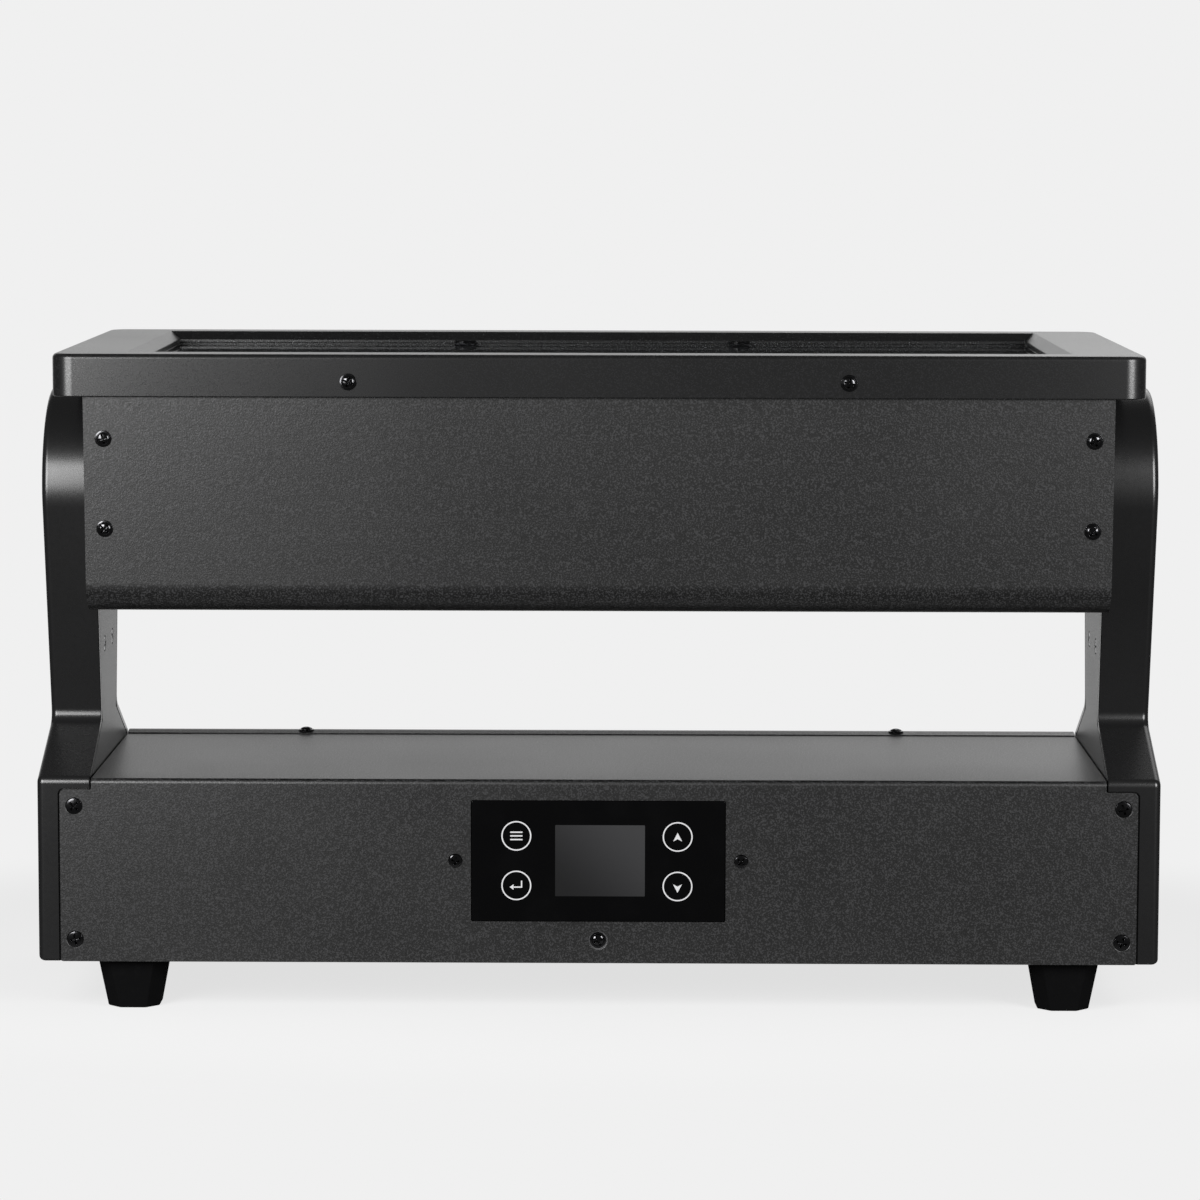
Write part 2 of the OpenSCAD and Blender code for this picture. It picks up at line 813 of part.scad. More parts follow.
module head_wrap() {
    slot_w = 4;
    slot_pitch = 8;
    slot_margin = 6;
    slot_l = head_fan_side - 2 * slot_margin;
    slots = floor(slot_l / slot_pitch);
    top = under_bezel + panel_tuck;
    color([0.13, 0.13, 0.135])
        at_axis() difference() {
            along_x(-head_half, head_half) difference() {
                head_section(0, top);
                head_section(sheet_t, top + past);
            }
            both_faces() both_sides() head_screw_places() screw_hole(sheet_t + past);
            both_faces() both_sides() translate([0, bezel_wall, 0])
                bezel_screw_places() screw_hole(sheet_t + past);
            both_sides() for (i = [0:slots - 1])
                translate([head_fan_x + (i - (slots - 1) / 2) * slot_pitch - slot_w / 2,
                    -slot_l / 2, -head_drop - past])
                    cube([slot_w, slot_l, sheet_t + 2 * past]);
        }
}

module head_end_plate() {
    top = under_bezel + panel_tuck;
    flange_t = 2;
    flange_z0 = under_bezel - head_screw_drops[1] - 6;
    shelf_half_d = 40;
    shelf_t = 2;
    color([0.2, 0.2, 0.21])
        at_axis() difference() {
            union() {
                along_x(end_x, head_half) head_section(plate_inset, top);
                along_x(end_x - end_flange_d, end_x) intersection() {
                    difference() {
                        head_section(plate_inset, top);
                        head_section(plate_inset + flange_t, top + past);
                    }
                    translate([-panel_y, flange_z0]) square([2 * panel_y, top - flange_z0]);
                }
                translate([end_x - end_flange_d, -shelf_half_d, sink_top - sink_plate_t - shelf_t])
                    cube([end_flange_d, 2 * shelf_half_d, shelf_t]);
            }
            both_faces() head_screw_places() screw_hole(screw_l);
            translate([end_x - past, 0, 0]) rotate([0, 90, 0])
                cylinder(r = hub_r + screw_gap, h = end_plate_t + 2 * past);
        }
}

module head_bezel() {
    color([0.14, 0.14, 0.145])
        at_axis() difference() {
            union() {
                difference() {
                    translate([0, 0, under_bezel]) linear_extrude(bezel_h)
                        rounded_rect(2 * bezel_half_w, 2 * bezel_half_d, bezel_corner_r);
                    box(head_half + skirt_gap, bezel_half_d - bezel_wall, under_bezel - past,
                        head_top - bezel_top_t);
                }
                box(well_half_w + well_wall, well_half_d + well_wall, ledge_bottom,
                    head_top - bevel_h / 2);
            }
            box(throat_half_w, throat_half_d, ledge_bottom - past, head_top + past);
            box(well_half_w, well_half_d, ledge_top, head_top + past);
            hull() {
                box(well_half_w, well_half_d, head_top - bevel_h - 0.01, head_top - bevel_h);
                box(window_half_w, window_half_d, head_top, head_top + 0.01);
            }
            both_faces() both_sides() bezel_screw_places() screw_hole(bezel_wall + past);
        }
}

module window_glass() {
    color([0.3, 0.32, 0.34, 0.4])
        at_axis() box(well_half_w - glass_gap, well_half_d - glass_gap, glass_top - glass_t, glass_top);
}

module glass_gasket() {
    gasket_step = 1;
    color([0.05, 0.05, 0.05])
        at_axis() difference() {
            box(well_half_w - glass_gap, well_half_d - glass_gap, ledge_top, ledge_top + gasket_t);
            box(throat_half_w + gasket_step, throat_half_d + gasket_step, ledge_top - past,
                ledge_top + gasket_t + past);
        }
}

// Small angles that hold the glass down, each with its screw in the well's wall
module glass_clips() {
    clip_head_r = 1.4;
    clip_head_h = 0.8;
    clip_foot_d = 4;
    color([0.5, 0.5, 0.52])
        at_axis() both_faces() both_sides() translate([cell_pitch / 2, well_half_d, glass_top]) {
            translate([-clip_w / 2, -clip_t, 0]) cube([clip_w, clip_t, clip_h]);
            translate([-clip_w / 2, -clip_foot_d, 0]) cube([clip_w, clip_foot_d - clip_t / 2, clip_t]);
            translate([0, -clip_t - clip_head_h, (clip_h + clip_t) / 2]) rotate([-90, 0, 0])
                cylinder(r = clip_head_r, h = clip_head_h + clip_t / 2);
        }
}

module reflector(i) {
    rim_h = 1;
    color([0.7, 0.71, 0.73])
        at_axis() translate([i * cell_pitch, 0, 0]) difference() {
            hull() {
                box(cell_half_w - reflector_taper, throat_half_d - reflector_taper, board_top,
                    board_top + 0.01);
                box(cell_half_w, throat_half_d - cell_gap / 2, board_top + reflector_h - rim_h,
                    board_top + reflector_h);
            }
            hull() {
                box(cell_half_w - reflector_taper - reflector_wall,
                    throat_half_d - reflector_taper - reflector_wall, board_top - 0.01, board_top);
                box(cell_half_w - reflector_wall, throat_half_d - cell_gap / 2 - reflector_wall,
                    board_top + reflector_h - rim_h, board_top + reflector_h + 0.01);
            }
        }
}

module led_board(i) {
    across = floor((2 * (cell_half_w - reflector_taper - reflector_wall) - led_side) / led_pitch);
    deep = floor((2 * (throat_half_d - reflector_taper - reflector_wall) - led_side) / led_pitch);
    color([0.85, 0.86, 0.84])
        at_axis() translate([i * cell_pitch, 0, 0]) {
            box(cell_half_w - board_margin, throat_half_d - board_margin, sink_top, board_top);
            for (a = [0:across], b = [0:deep])
                translate([(a - across / 2) * led_pitch - led_side / 2,
                    (b - deep / 2) * led_pitch - led_side / 2, board_top])
                    cube([led_side, led_side, led_h]);
        }
}

module heat_sink() {
    end_room = 6;
    fin_zone = end_x - end_flange_d - end_room;
    fins = floor(2 * fin_zone / sink_fin_pitch);
    plate_bottom = sink_top - sink_plate_t;
    color([0.6, 0.61, 0.62])
        at_axis() {
            box(end_x - 2 * sheet_gap, throat_half_d, plate_bottom, sink_top);
            for (i = [0:fins])
                translate([(i - fins / 2) * sink_fin_pitch - sink_fin_t / 2, -throat_half_d,
                    plate_bottom - sink_fin_h])
                    cube([sink_fin_t, 2 * throat_half_d, sink_fin_h + 0.01]);
        }
}

// Fan frame on z = 0 with spokes, a hub plate and its fixed axle
module fan_frame(side, depth) {
    spoke = 3;
    spoke_t = 2;
    hub = side * fan_hub_share;
    linear_extrude(depth) difference() {
        rounded_rect(side, side, 3);
        circle(r = side / 2 - fan_rim);
    }
    linear_extrude(spoke_t) {
        circle(r = hub);
        for (a = [45, 135]) rotate([0, 0, a]) square([side - fan_rim, spoke], center = true);
    }
    translate([0, 0, spoke_t / 2]) cylinder(r = axle_r, h = depth - axle_short - spoke_t / 2);
}

// Fan rotor on the axle of fan_frame
module fan_rotor(side, depth) {
    z0 = 2.5;
    height = depth - z0 - 0.5;
    hub = side * fan_hub_share;
    tip = side / 2 - fan_rim - tip_gap;
    pitch = 35;
    blade_t = 1.2;
    root = 2;
    chord = (height - blade_t - 0.2) / sin(pitch);
    difference() {
        union() {
            translate([0, 0, z0]) cylinder(r = hub, h = height);
            intersection() {
                translate([0, 0, z0]) cylinder(r = tip, h = height);
                union() for (i = [0:blades - 1])
                    rotate([0, 0, i * 360 / blades])
                        translate([hub - root, 0, z0 + height / 2]) rotate([pitch, 0, 0])
                            translate([0, -chord / 2, -blade_t / 2])
                                cube([side / 2, chord, blade_t]);
            }
        }
        translate([0, 0, z0 - past]) cylinder(r = axle_r + run_gap, h = height + 2 * past);
    }
}

module head_fan_place(s) {
    at_axis() translate([s * head_fan_x, 0, head_floor]) children();
}

module base_fan_place() {
    translate([0, inside_y, motor_z]) rotate([90, 0, 0]) children();
}

module head_screws() {
    color([0.05, 0.05, 0.055])
        at_axis() both_faces() both_sides() {
            head_screw_places() domed_screw(screw_l - sheet_t);
            bezel_screw_places() domed_screw(screw_l);
        }
}

module arm_screws() {
    color([0.05, 0.05, 0.055]) both_sides() arm_screw_places() sunk_screw(screw_l);
}

module base_cover() {
    inside = inner_half - seam_gap;
    ear_half = inner_half + ear_reach;
    ear_z = base_z1 - ear_drop;
    rear_y = inside_y - sheet_gap;
    color([0.13, 0.13, 0.135])
        difference() {
            union() {
                along_x(-inside, inside) {
                    translate([front_y, base_z0]) square([sheet_t, base_h - top_fold_r]);
                    translate([front_y + top_fold_r, base_z1 - sheet_t])
                        square([rear_y - front_y - top_fold_r, sheet_t]);
                    translate([front_y + top_fold_r, base_z1 - top_fold_r]) intersection() {
                        difference() {
                            circle(r = top_fold_r);
                            circle(r = top_fold_r - sheet_t);
                        }
                        translate([-top_fold_r, 0]) square([top_fold_r, top_fold_r]);
                    }
                }
                both_sides() translate([inside - past, front_y, base_z0])
                    cube([ear_half - inside + past, sheet_t, ear_z - base_z0]);
            }
            along_y(front_y - past, front_y + sheet_t + past)
                translate([0, base_z0 + display_z])
                    square([display_w + 2 * glass_edge_gap, display_h + 2 * glass_edge_gap], center = true);
            both_sides() ear_screw_places() sunk_hole(sheet_t + past);
            display_screw_places() sunk_hole(sheet_t + past, small_sunk_r);
            low_screw_place() translate([0, 0, -sheet_t - past])
                cylinder(r = dome_r + recess_gap, h = sheet_t + 2 * past);
            both_sides() lip_screw_place() screw_hole(lip_t + sheet_t + past);
        }
}

module base_rear_panel() {
    ear_half = inner_half + ear_reach;
    inside = inner_half - seam_gap;
    ear_z = base_z1 - ear_drop;
    fan_slots = [-2:2];
    slot_w = 3.5;
    slot_pitch = 7;
    slot_l = base_fan_side - 10;
    color([0.13, 0.13, 0.135])
        difference() {
            union() {
                translate([-inside, inside_y, base_z0]) cube([2 * inside, sheet_t, base_h + lip_t]);
                both_sides() translate([inside - past, inside_y, base_z0])
                    cube([ear_half - inside + past, sheet_t, ear_z - base_z0]);
                translate([-inside, base_half_d - rear_lip_d, base_z1])
                    cube([2 * inside, rear_lip_d, lip_t]);
            }
            mirror([0, 1, 0]) both_sides() ear_screw_places() sunk_hole(sheet_t + past);
            both_sides() lip_screw_place() screw_hole(lip_t + past);
            for (x = [socket_near_x, socket_far_x]) {
                socket_place(x) socket_hole(power_r);
                socket_place(-x) socket_hole(data_r);
            }
            socket_place(fuse_x) socket_hole(fuse_r);
            for (i = fan_slots)
                translate([i * slot_pitch - slot_w / 2, inside_y - past, motor_z - slot_l / 2])
                    cube([slot_w, sheet_t + 2 * past, slot_l]);
        }
}

module base_bottom_plate() {
    half_w = inner_half - seam_gap;
    half_d = inside_y - sheet_gap;
    color([0.12, 0.12, 0.125])
        difference() {
            box(half_w, half_d, base_z0, floor_z);
            for (x = [-1, 1], y = [-1, 1]) {
                translate([x * rig_x / 2, y * rig_y / 2, base_z0 - past])
                    cylinder(r = insert_r + seat_gap, h = bottom_t + 2 * past);
                translate([x * foot_x, y * foot_y, base_z0 - past])
                    cylinder(r = foot_screw_r + screw_gap, h = bottom_t + 2 * past);
            }
        }
}

// Threaded inserts in the bottom plate for a rigging bracket
module rigging_inserts() {
    color([0.7, 0.7, 0.72])
        for (x = [-1, 1], y = [-1, 1])
            translate([x * rig_x / 2, y * rig_y / 2, base_z0]) difference() {
                union() {
                    cylinder(r = insert_r, h = bottom_t);
                    translate([0, 0, bottom_t]) cylinder(r = insert_r + insert_flange, h = insert_up);
                }
                translate([0, 0, -past]) cylinder(r = rig_hole_r, h = bottom_t + insert_up + 2 * past);
            }
}

module display_glass() {
    color([0.02, 0.02, 0.025])
        along_y(front_y + glass_sink, front_y + glass_sink + display_t)
            translate([0, base_z0 + display_z]) square([display_w, display_h], center = true);
}

// Circuit board behind the glass, with the screen module on its front
module display_board() {
    board_side_in = 4;
    board_over = 6;
    color([0.08, 0.3, 0.16]) {
        along_y(display_board_y, display_board_y + board_t)
            translate([0, base_z0 + display_z])
                square([display_w - board_side_in, display_h + board_over], center = true);
        along_y(display_board_y - screen_t, display_board_y)
            translate([screen_x, base_z0 + display_z]) square([screen_w, screen_h], center = true);
    }
}

// Angle behind the front sheet that carries the display board
module display_bracket() {
    back_y = display_board_y + board_t;
    bracket_t = 1.5;
    bracket_over = 12;
    half_w = display_screw_x + 6;
    arm = [11, 16];
    tab = [14, 10];
    tab_z = 3;
    front = front_y + sheet_t;
    depth = back_y - front;
    color([0.3, 0.3, 0.32])
        difference() {
            union() {
                along_y(back_y, back_y + bracket_t) translate([0, base_z0 + display_z])
                    square([2 * half_w, display_h + bracket_over], center = true);
                both_sides() translate([half_w - arm[0], front, base_z0 + display_z - arm[1] / 2])
                    cube([arm[0], depth + bracket_t / 2, arm[1]]);
                translate([-tab[0] / 2, front, base_z0 + tab_z]) cube([tab[0], depth + bracket_t, tab[1]]);
            }
            display_screw_places() screw_hole(2 * screw_l);
            low_screw_place() screw_hole(2 * screw_l);
        }
}

// Perforated case of the power supply on four standoffs, with its board inside
module power_supply() {
    wall = 1.2;
    slot_w = 4;
    slot_pitch = 12;
    post_in = 8;
    post_r = 3;
    // Place across and along the case, radius and height of each tall part
    parts = [[-35, 0, 14, 18], [5, 10, 18, 21], [40, -12, 9, 19]];
    size = psu_size;
    z0 = floor_z + stand_off;
    inner = [size[0] - 2 * wall, size[1] - 2 * wall, size[2] - 2 * wall];
    color([0.62, 0.63, 0.64])
        translate([psu_x, 0, 0]) {
            difference() {
                translate([-size[0] / 2, -size[1] / 2, z0]) cube(size);
                translate([-inner[0] / 2, -inner[1] / 2, z0 + wall]) cube(inner);
                for (i = [-4:4])
                    translate([i * slot_pitch - slot_w / 2, -size[1] / 4, z0 + size[2] - wall - past])
                        cube([slot_w, size[1] / 2, wall + 2 * past]);
            }
            translate([-inner[0] / 2, -inner[1] / 2, z0 + wall]) cube([inner[0], inner[1], board_t]);
            for (p = parts)
                translate([p[0], p[1], z0 + wall + board_t]) cylinder(r = p[2], h = p[3]);
            for (x = [-1, 1], y = [-1, 1])
                translate([x * (size[0] / 2 - post_in), y * (size[1] / 2 - post_in), floor_z])
                    cylinder(r = post_r, h = stand_off);
        }
}

module driver_board() {
    part_pitch = 32;
    part_y = -18;
    part_r = 6;
    part_h = 16;
    block = [20, 22, 9];
    block_y = 4;
    post_in = 5;
    post_r = 2.5;
    z0 = floor_z + stand_off;
    size = driver_size;
    color([0.08, 0.3, 0.16])
        translate([driver_x, 0, 0]) {
            translate([-size[0] / 2, -size[1] / 2, z0]) cube([size[0], size[1], board_t]);
            for (i = [-1:1]) {
                translate([i * part_pitch, part_y, z0 + board_t]) cylinder(r = part_r, h = part_h);
                translate([i * part_pitch - block[0] / 2, block_y, z0 + board_t]) cube(block);
            }
            for (x = [-1, 1], y = [-1, 1])
                translate([x * (size[0] / 2 - post_in), y * (size[1] / 2 - post_in), floor_z])
                    cylinder(r = post_r, h = stand_off);
        }
}

module socket_place(x) {
    translate([x, base_half_d, motor_z]) rotate([-90, 0, 0]) children();
}

module socket_hole(r) {
    translate([0, 0, -sheet_t - past]) cylinder(r = r + screw_gap, h = sheet_t + 2 * past);
}

// Body of a panel socket without its bore, its mouth up, its flange on the plane z = 0
module socket_blank(r) {
    difference() {
        union() {
            linear_extrude(socket_flange_t) rounded_rect(socket_w, socket_h, socket_corner_r);
            translate([0, 0, cup_floor - cup_floor_t]) cylinder(r = r, h = cup_d + cup_floor_t);
        }
        for (s = [-1, 1])
            translate([s * (socket_w / 2 - socket_screw_in), s * (socket_h / 2 - socket_screw_in), -past])
                cylinder(r = screw_r, h = socket_flange_t + 2 * past);
    }
}

module socket_body(r, cup_r) {
    difference() {
        socket_blank(r);
        translate([0, 0, cup_floor]) cylinder(r = cup_r, h = cup_d + past);
    }
}

module power_socket(blade_l) {
    blade_t = 1.2;
    blade_w = 3.6;
    blade_orbit = 4.2;
    socket_body(power_r, power_cup_r);
    for (a = [0:120:240])
        rotate([0, 0, a + 90]) translate([blade_orbit, -blade_w / 2, cup_floor - pin_root])
            cube([blade_t, blade_w, blade_l + pin_root]);
}

module power_inlet() {
    color([0.12, 0.2, 0.42]) socket_place(socket_far_x) power_socket(7);
}

module power_outlet() {
    color([0.55, 0.56, 0.58]) socket_place(socket_near_x) power_socket(5);
}

module data_inlet() {
    pin_l = 7;
    color([0.3, 0.3, 0.32]) socket_place(-socket_near_x) {
        socket_body(data_r, data_cup_r);
        for (a = [0:72:288])
            rotate([0, 0, a]) translate([pin_orbit, 0, cup_floor - pin_root])
                cylinder(r = pin_r, h = pin_l + pin_root);
    }
}

// Socket with a flat face and five contact holes, and a slot for its latch
module data_outlet() {
    contact_d = 8;
    color([0.3, 0.3, 0.32]) socket_place(-socket_far_x) difference() {
        socket_blank(data_r);
        for (a = [0:72:288])
            rotate([0, 0, a]) translate([pin_orbit, 0, mouth_out - contact_d])
                cylinder(r = pin_r + run_gap, h = contact_d + past);
        translate([-latch_w / 2 - latch_gap, -latch_up - latch_h - latch_gap, mouth_out - latch_slot_d])
            cube([latch_w + 2 * latch_gap, latch_h + 2 * latch_gap, latch_slot_d + past]);
    }
}

// Latch button of the data outlet, standing out of its slot
module data_latch() {
    out = 2.5;
    color([0.7, 0.7, 0.72]) socket_place(-socket_far_x)
        translate([-latch_w / 2, -latch_up - latch_h, mouth_out + out - latch_slot_d])
            cube([latch_w, latch_h, latch_slot_d]);
}

module fuse_holder() {
    color([0.08, 0.08, 0.08]) socket_place(fuse_x) difference() {
        union() {
            cylinder(r = fuse_r + fuse_rim, h = fuse_rim);
            translate([0, 0, -fuse_d - fuse_wall]) cylinder(r = fuse_r, h = fuse_d + fuse_wall);
        }
        translate([0, 0, -fuse_d]) cylinder(r = fuse_bore_r, h = fuse_d + fuse_rim + past);
    }
}

module fuse_cap() {
    plug_l = 14;
    head_z = fuse_rim + 2 * run_gap;
    head_h = 4;
    slot_w = 1.2;
    slot_d = 1.2;
    color([0.1, 0.1, 0.1]) socket_place(fuse_x) difference() {
        union() {
            translate([0, 0, -plug_l]) cylinder(r = fuse_bore_r - run_gap, h = plug_l + head_z);
            translate([0, 0, head_z]) cylinder(r = fuse_r, h = head_h);
        }
        translate([-fuse_r, -slot_w / 2, head_z + head_h - slot_d])
            cube([2 * fuse_r, slot_w, slot_d + past]);
    }
}

// Outline of a foot: a square with its corners cut
module foot_outline(w) {
    intersection() {
        square(w, center = true);
        rotate(45) square((w - foot_cut) * sqrt(2), center = true);
    }
}

module foot_places() {
    for (x = [-1, 1], y = [-1, 1]) translate([x * foot_x, y * foot_y, 0]) children();
}

module feet() {
    land = 0.5;
    color([0.04, 0.04, 0.045])
        foot_places() difference() {
            hull() {
                linear_extrude(land) foot_outline(foot_bottom_w);
                translate([0, 0, foot_h - land]) linear_extrude(land) foot_outline(foot_top_w);
            }
            translate([0, 0, -past]) cylinder(r = foot_recess_r, h = foot_recess_d + past);
            cylinder(r = foot_screw_r + screw_gap, h = foot_h + past);
        }
}

// Screw up through each foot, and its nut on the bottom plate
module foot_screws() {
    head_h = 3;
    head_r = foot_recess_r - 0.8;
    nut_r = 4;
    nut_h = 3.2;
    end_out = 5;
    color([0.6, 0.6, 0.62])
        foot_places() {
            difference() {
                translate([0, 0, foot_recess_d - head_h]) cylinder(r = head_r, h = head_h);
                translate([0, 0, foot_recess_d - head_h]) rotate([180, 0, 0]) cross_recess(head_r);
            }
            translate([0, 0, foot_recess_d])
                cylinder(r = foot_screw_r, h = floor_z + end_out - foot_recess_d);
            translate([0, 0, floor_z]) difference() {
                cylinder(r = nut_r, h = nut_h, $fn = 6);
                translate([0, 0, -past]) cylinder(r = foot_screw_r + seat_gap, h = nut_h + 2 * past);
            }
        }
}

module base_screws() {
    color([0.05, 0.05, 0.055]) {
        both_faces() both_sides() ear_screw_places() sunk_screw(screw_l);
        display_screw_places() sunk_screw(screw_l, small_sunk_r);
        low_screw_place() translate([0, 0, -sheet_t]) domed_screw(screw_l);
        both_sides() lip_screw_place() domed_screw(screw_l);
    }
}

// Lug on the rear panel for a safety cable
module safety_eye() {
    pad_w = 26;
    pad_h = 20;
    pad_t = 2.5;
    reach = 12;
    color([0.1, 0.1, 0.105])
        translate([eye_x, base_half_d, motor_z]) difference() {
            union() {
                translate([-pad_w / 2, 0, -pad_h / 2]) cube([pad_w, pad_t, pad_h]);
                along_x(-eye_t / 2, eye_t / 2) {
                    translate([pad_t / 2, -eye_r - 4]) square([reach - pad_t / 2, 2 * eye_r + 8]);
                    translate([reach, 0]) circle(r = eye_r + 4);
                }
            }
            translate([-eye_t, reach, 0]) rotate([0, 90, 0]) cylinder(r = eye_r, h = 2 * eye_t);
        }
}

head_bezel();
window_glass();
glass_gasket();
glass_clips();
reflector(-1);  // reflector_left
reflector(0);  // reflector_centre
reflector(1);  // reflector_right
led_board(-1);  // led_board_left
led_board(0);  // led_board_centre
led_board(1);  // led_board_right
heat_sink();
head_wrap();
left() head_end_plate();  // head_end_plate_left
head_end_plate();  // head_end_plate_right
left() tilt_hub(pulley_x + stop_disc_t);  // tilt_hub_left
tilt_hub(pulley_x + pulley_w);  // tilt_hub_right
driven_pulley();
stop_disc();
color([0.06, 0.06, 0.06]) head_fan_place(-1) fan_frame(head_fan_side, head_fan_d);  // head_fan_frame_left
color([0.06, 0.06, 0.06]) head_fan_place(1) fan_frame(head_fan_side, head_fan_d);  // head_fan_frame_right
color([0.1, 0.1, 0.1]) head_fan_place(-1) fan_rotor(head_fan_side, head_fan_d);  // head_fan_rotor_left
color([0.1, 0.1, 0.1]) head_fan_place(1) fan_rotor(head_fan_side, head_fan_d);  // head_fan_rotor_right
head_screws();
left() arm_shell();  // arm_shell_left
arm_shell();  // arm_shell_right
left() arm_frame();  // arm_frame_left
arm_frame();  // arm_frame_right
left() bearing_housing();  // bearing_housing_left
bearing_housing();  // bearing_housing_right
left() tilt_bearing();  // tilt_bearing_left
tilt_bearing();  // tilt_bearing_right
tilt_stop_posts();
tilt_sensor_board();
tilt_motor();
motor_pulley();
tilt_belt();
arm_screws();
base_cover();
base_rear_panel();
base_bottom_plate();
display_glass();
display_board();
display_bracket();
power_supply();
driver_board();
color([0.06, 0.06, 0.06]) base_fan_place() fan_frame(base_fan_side, base_fan_d);  // base_fan_frame
color([0.1, 0.1, 0.1]) base_fan_place() fan_rotor(base_fan_side, base_fan_d);  // base_fan_rotor
power_inlet();
power_outlet();
data_inlet();
data_outlet();
data_latch();
fuse_holder();
fuse_cap();
feet();
foot_screws();
base_screws();
safety_eye();
rigging_inserts();
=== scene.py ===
"""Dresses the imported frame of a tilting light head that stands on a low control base.

Lengths are in millimetres until a mesh is finished; the frame itself is in metres.
X runs across the front, -Y is the front and +Z is up.
"""
import json
import logging
import math
from dataclasses import dataclass, field
from enum import Enum
from typing import Iterable, Optional, Sequence, Union

import bmesh
import bpy
from mathutils import Matrix, Vector


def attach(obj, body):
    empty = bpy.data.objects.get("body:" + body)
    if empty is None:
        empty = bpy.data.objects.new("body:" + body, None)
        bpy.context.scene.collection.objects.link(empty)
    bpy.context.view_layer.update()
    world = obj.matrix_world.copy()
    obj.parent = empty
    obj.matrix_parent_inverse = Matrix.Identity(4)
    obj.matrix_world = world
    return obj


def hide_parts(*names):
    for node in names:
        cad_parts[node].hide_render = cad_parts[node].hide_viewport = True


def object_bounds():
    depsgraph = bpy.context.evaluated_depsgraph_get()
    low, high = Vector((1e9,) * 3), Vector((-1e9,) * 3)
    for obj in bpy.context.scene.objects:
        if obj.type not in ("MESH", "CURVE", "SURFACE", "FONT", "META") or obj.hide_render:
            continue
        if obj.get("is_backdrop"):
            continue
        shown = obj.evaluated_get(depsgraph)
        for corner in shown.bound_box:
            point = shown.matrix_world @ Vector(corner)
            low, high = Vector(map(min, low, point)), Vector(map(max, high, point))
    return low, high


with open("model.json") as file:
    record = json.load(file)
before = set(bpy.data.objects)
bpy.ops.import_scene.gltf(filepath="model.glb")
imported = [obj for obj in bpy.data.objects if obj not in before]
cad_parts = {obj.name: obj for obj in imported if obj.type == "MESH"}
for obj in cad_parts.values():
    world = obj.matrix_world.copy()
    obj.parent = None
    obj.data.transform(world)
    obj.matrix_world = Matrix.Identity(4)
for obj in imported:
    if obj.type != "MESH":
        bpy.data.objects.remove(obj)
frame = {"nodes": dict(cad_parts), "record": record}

MM = 0.001
TURN = 6.283
WHITE = (1.0, 1.0, 1.0)
IMAGE_SIDE = 1200
log = logging.getLogger("light_head")

Point2 = tuple[float, float]
Colour = tuple[float, float, float]


class Body(Enum):
    """The bodies of the frame that new pieces ride on."""

    STAND = "stand"
    HEAD = "head"
    HEAD_FAN_LEFT = "head_fan_left"
    HEAD_FAN_RIGHT = "head_fan_right"
    BASE_FAN = "base_fan"


class Side(Enum):
    """The two sides of the middle plane."""

    LEFT = -1
    RIGHT = 1

    @property
    def word(self) -> str:
        """The side's name in lower case."""
        return self.name.lower()


class Face(Enum):
    """The front and the rear face."""

    FRONT = -1
    REAR = 1


class Axis(Enum):
    """The axis that a prism runs along, with the axes of its outline."""

    X = (1, 2, 0)
    Y = (0, 2, 1)
    Z = (0, 1, 2)

    def point(self, across: float, up: float, along: float) -> Vector:
        """A point of the prism in space.

        Args:
            across: First coordinate of the outline.
            up: Second coordinate of the outline.
            along: Place on the axis.

        Returns:
            The point.
        """
        spot = Vector()
        spot[self.value[0]] = across
        spot[self.value[1]] = up
        spot[self.value[2]] = along
        return spot


# ---------------------------------------------------------------- shader nodes


class Value:
    """An output socket whose arithmetic adds Math nodes to its tree."""

    def __init__(self, tree: "Tree", socket: bpy.types.NodeSocket) -> None:
        """Wraps a socket."""
        self.tree = tree
        self.socket = socket

    def _math(self, operation: str, *terms: "Term") -> "Value":
        """Adds one Math node with its inputs in order."""
        return self.tree.node("ShaderNodeMath", {"operation": operation}, dict(enumerate(terms)))

    def __add__(self, other: "Term") -> "Value":
        """self + other."""
        return self._math("ADD", self, other)

    def __radd__(self, other: "Term") -> "Value":
        """other + self."""
        return self._math("ADD", other, self)

    def __sub__(self, other: "Term") -> "Value":
        """self - other."""
        return self._math("SUBTRACT", self, other)

    def __rsub__(self, other: "Term") -> "Value":
        """other - self."""
        return self._math("SUBTRACT", other, self)

    def __mul__(self, other: "Term") -> "Value":
        """self * other."""
        return self._math("MULTIPLY", self, other)

    def __rmul__(self, other: "Term") -> "Value":
        """other * self."""
        return self._math("MULTIPLY", other, self)

    def larger(self, other: "Term") -> "Value":
        """The larger of the two."""
        return self._math("MAXIMUM", self, other)

    def smooth(self, low: float, high: float) -> "Value":
        """0 at low and below, 1 at high and above, smooth between."""
        settings = {"interpolation_type": "SMOOTHSTEP"}
        return self.tree.node("ShaderNodeMapRange", settings, {0: self, 1: low, 2: high})


Term = Union[Value, float, int]


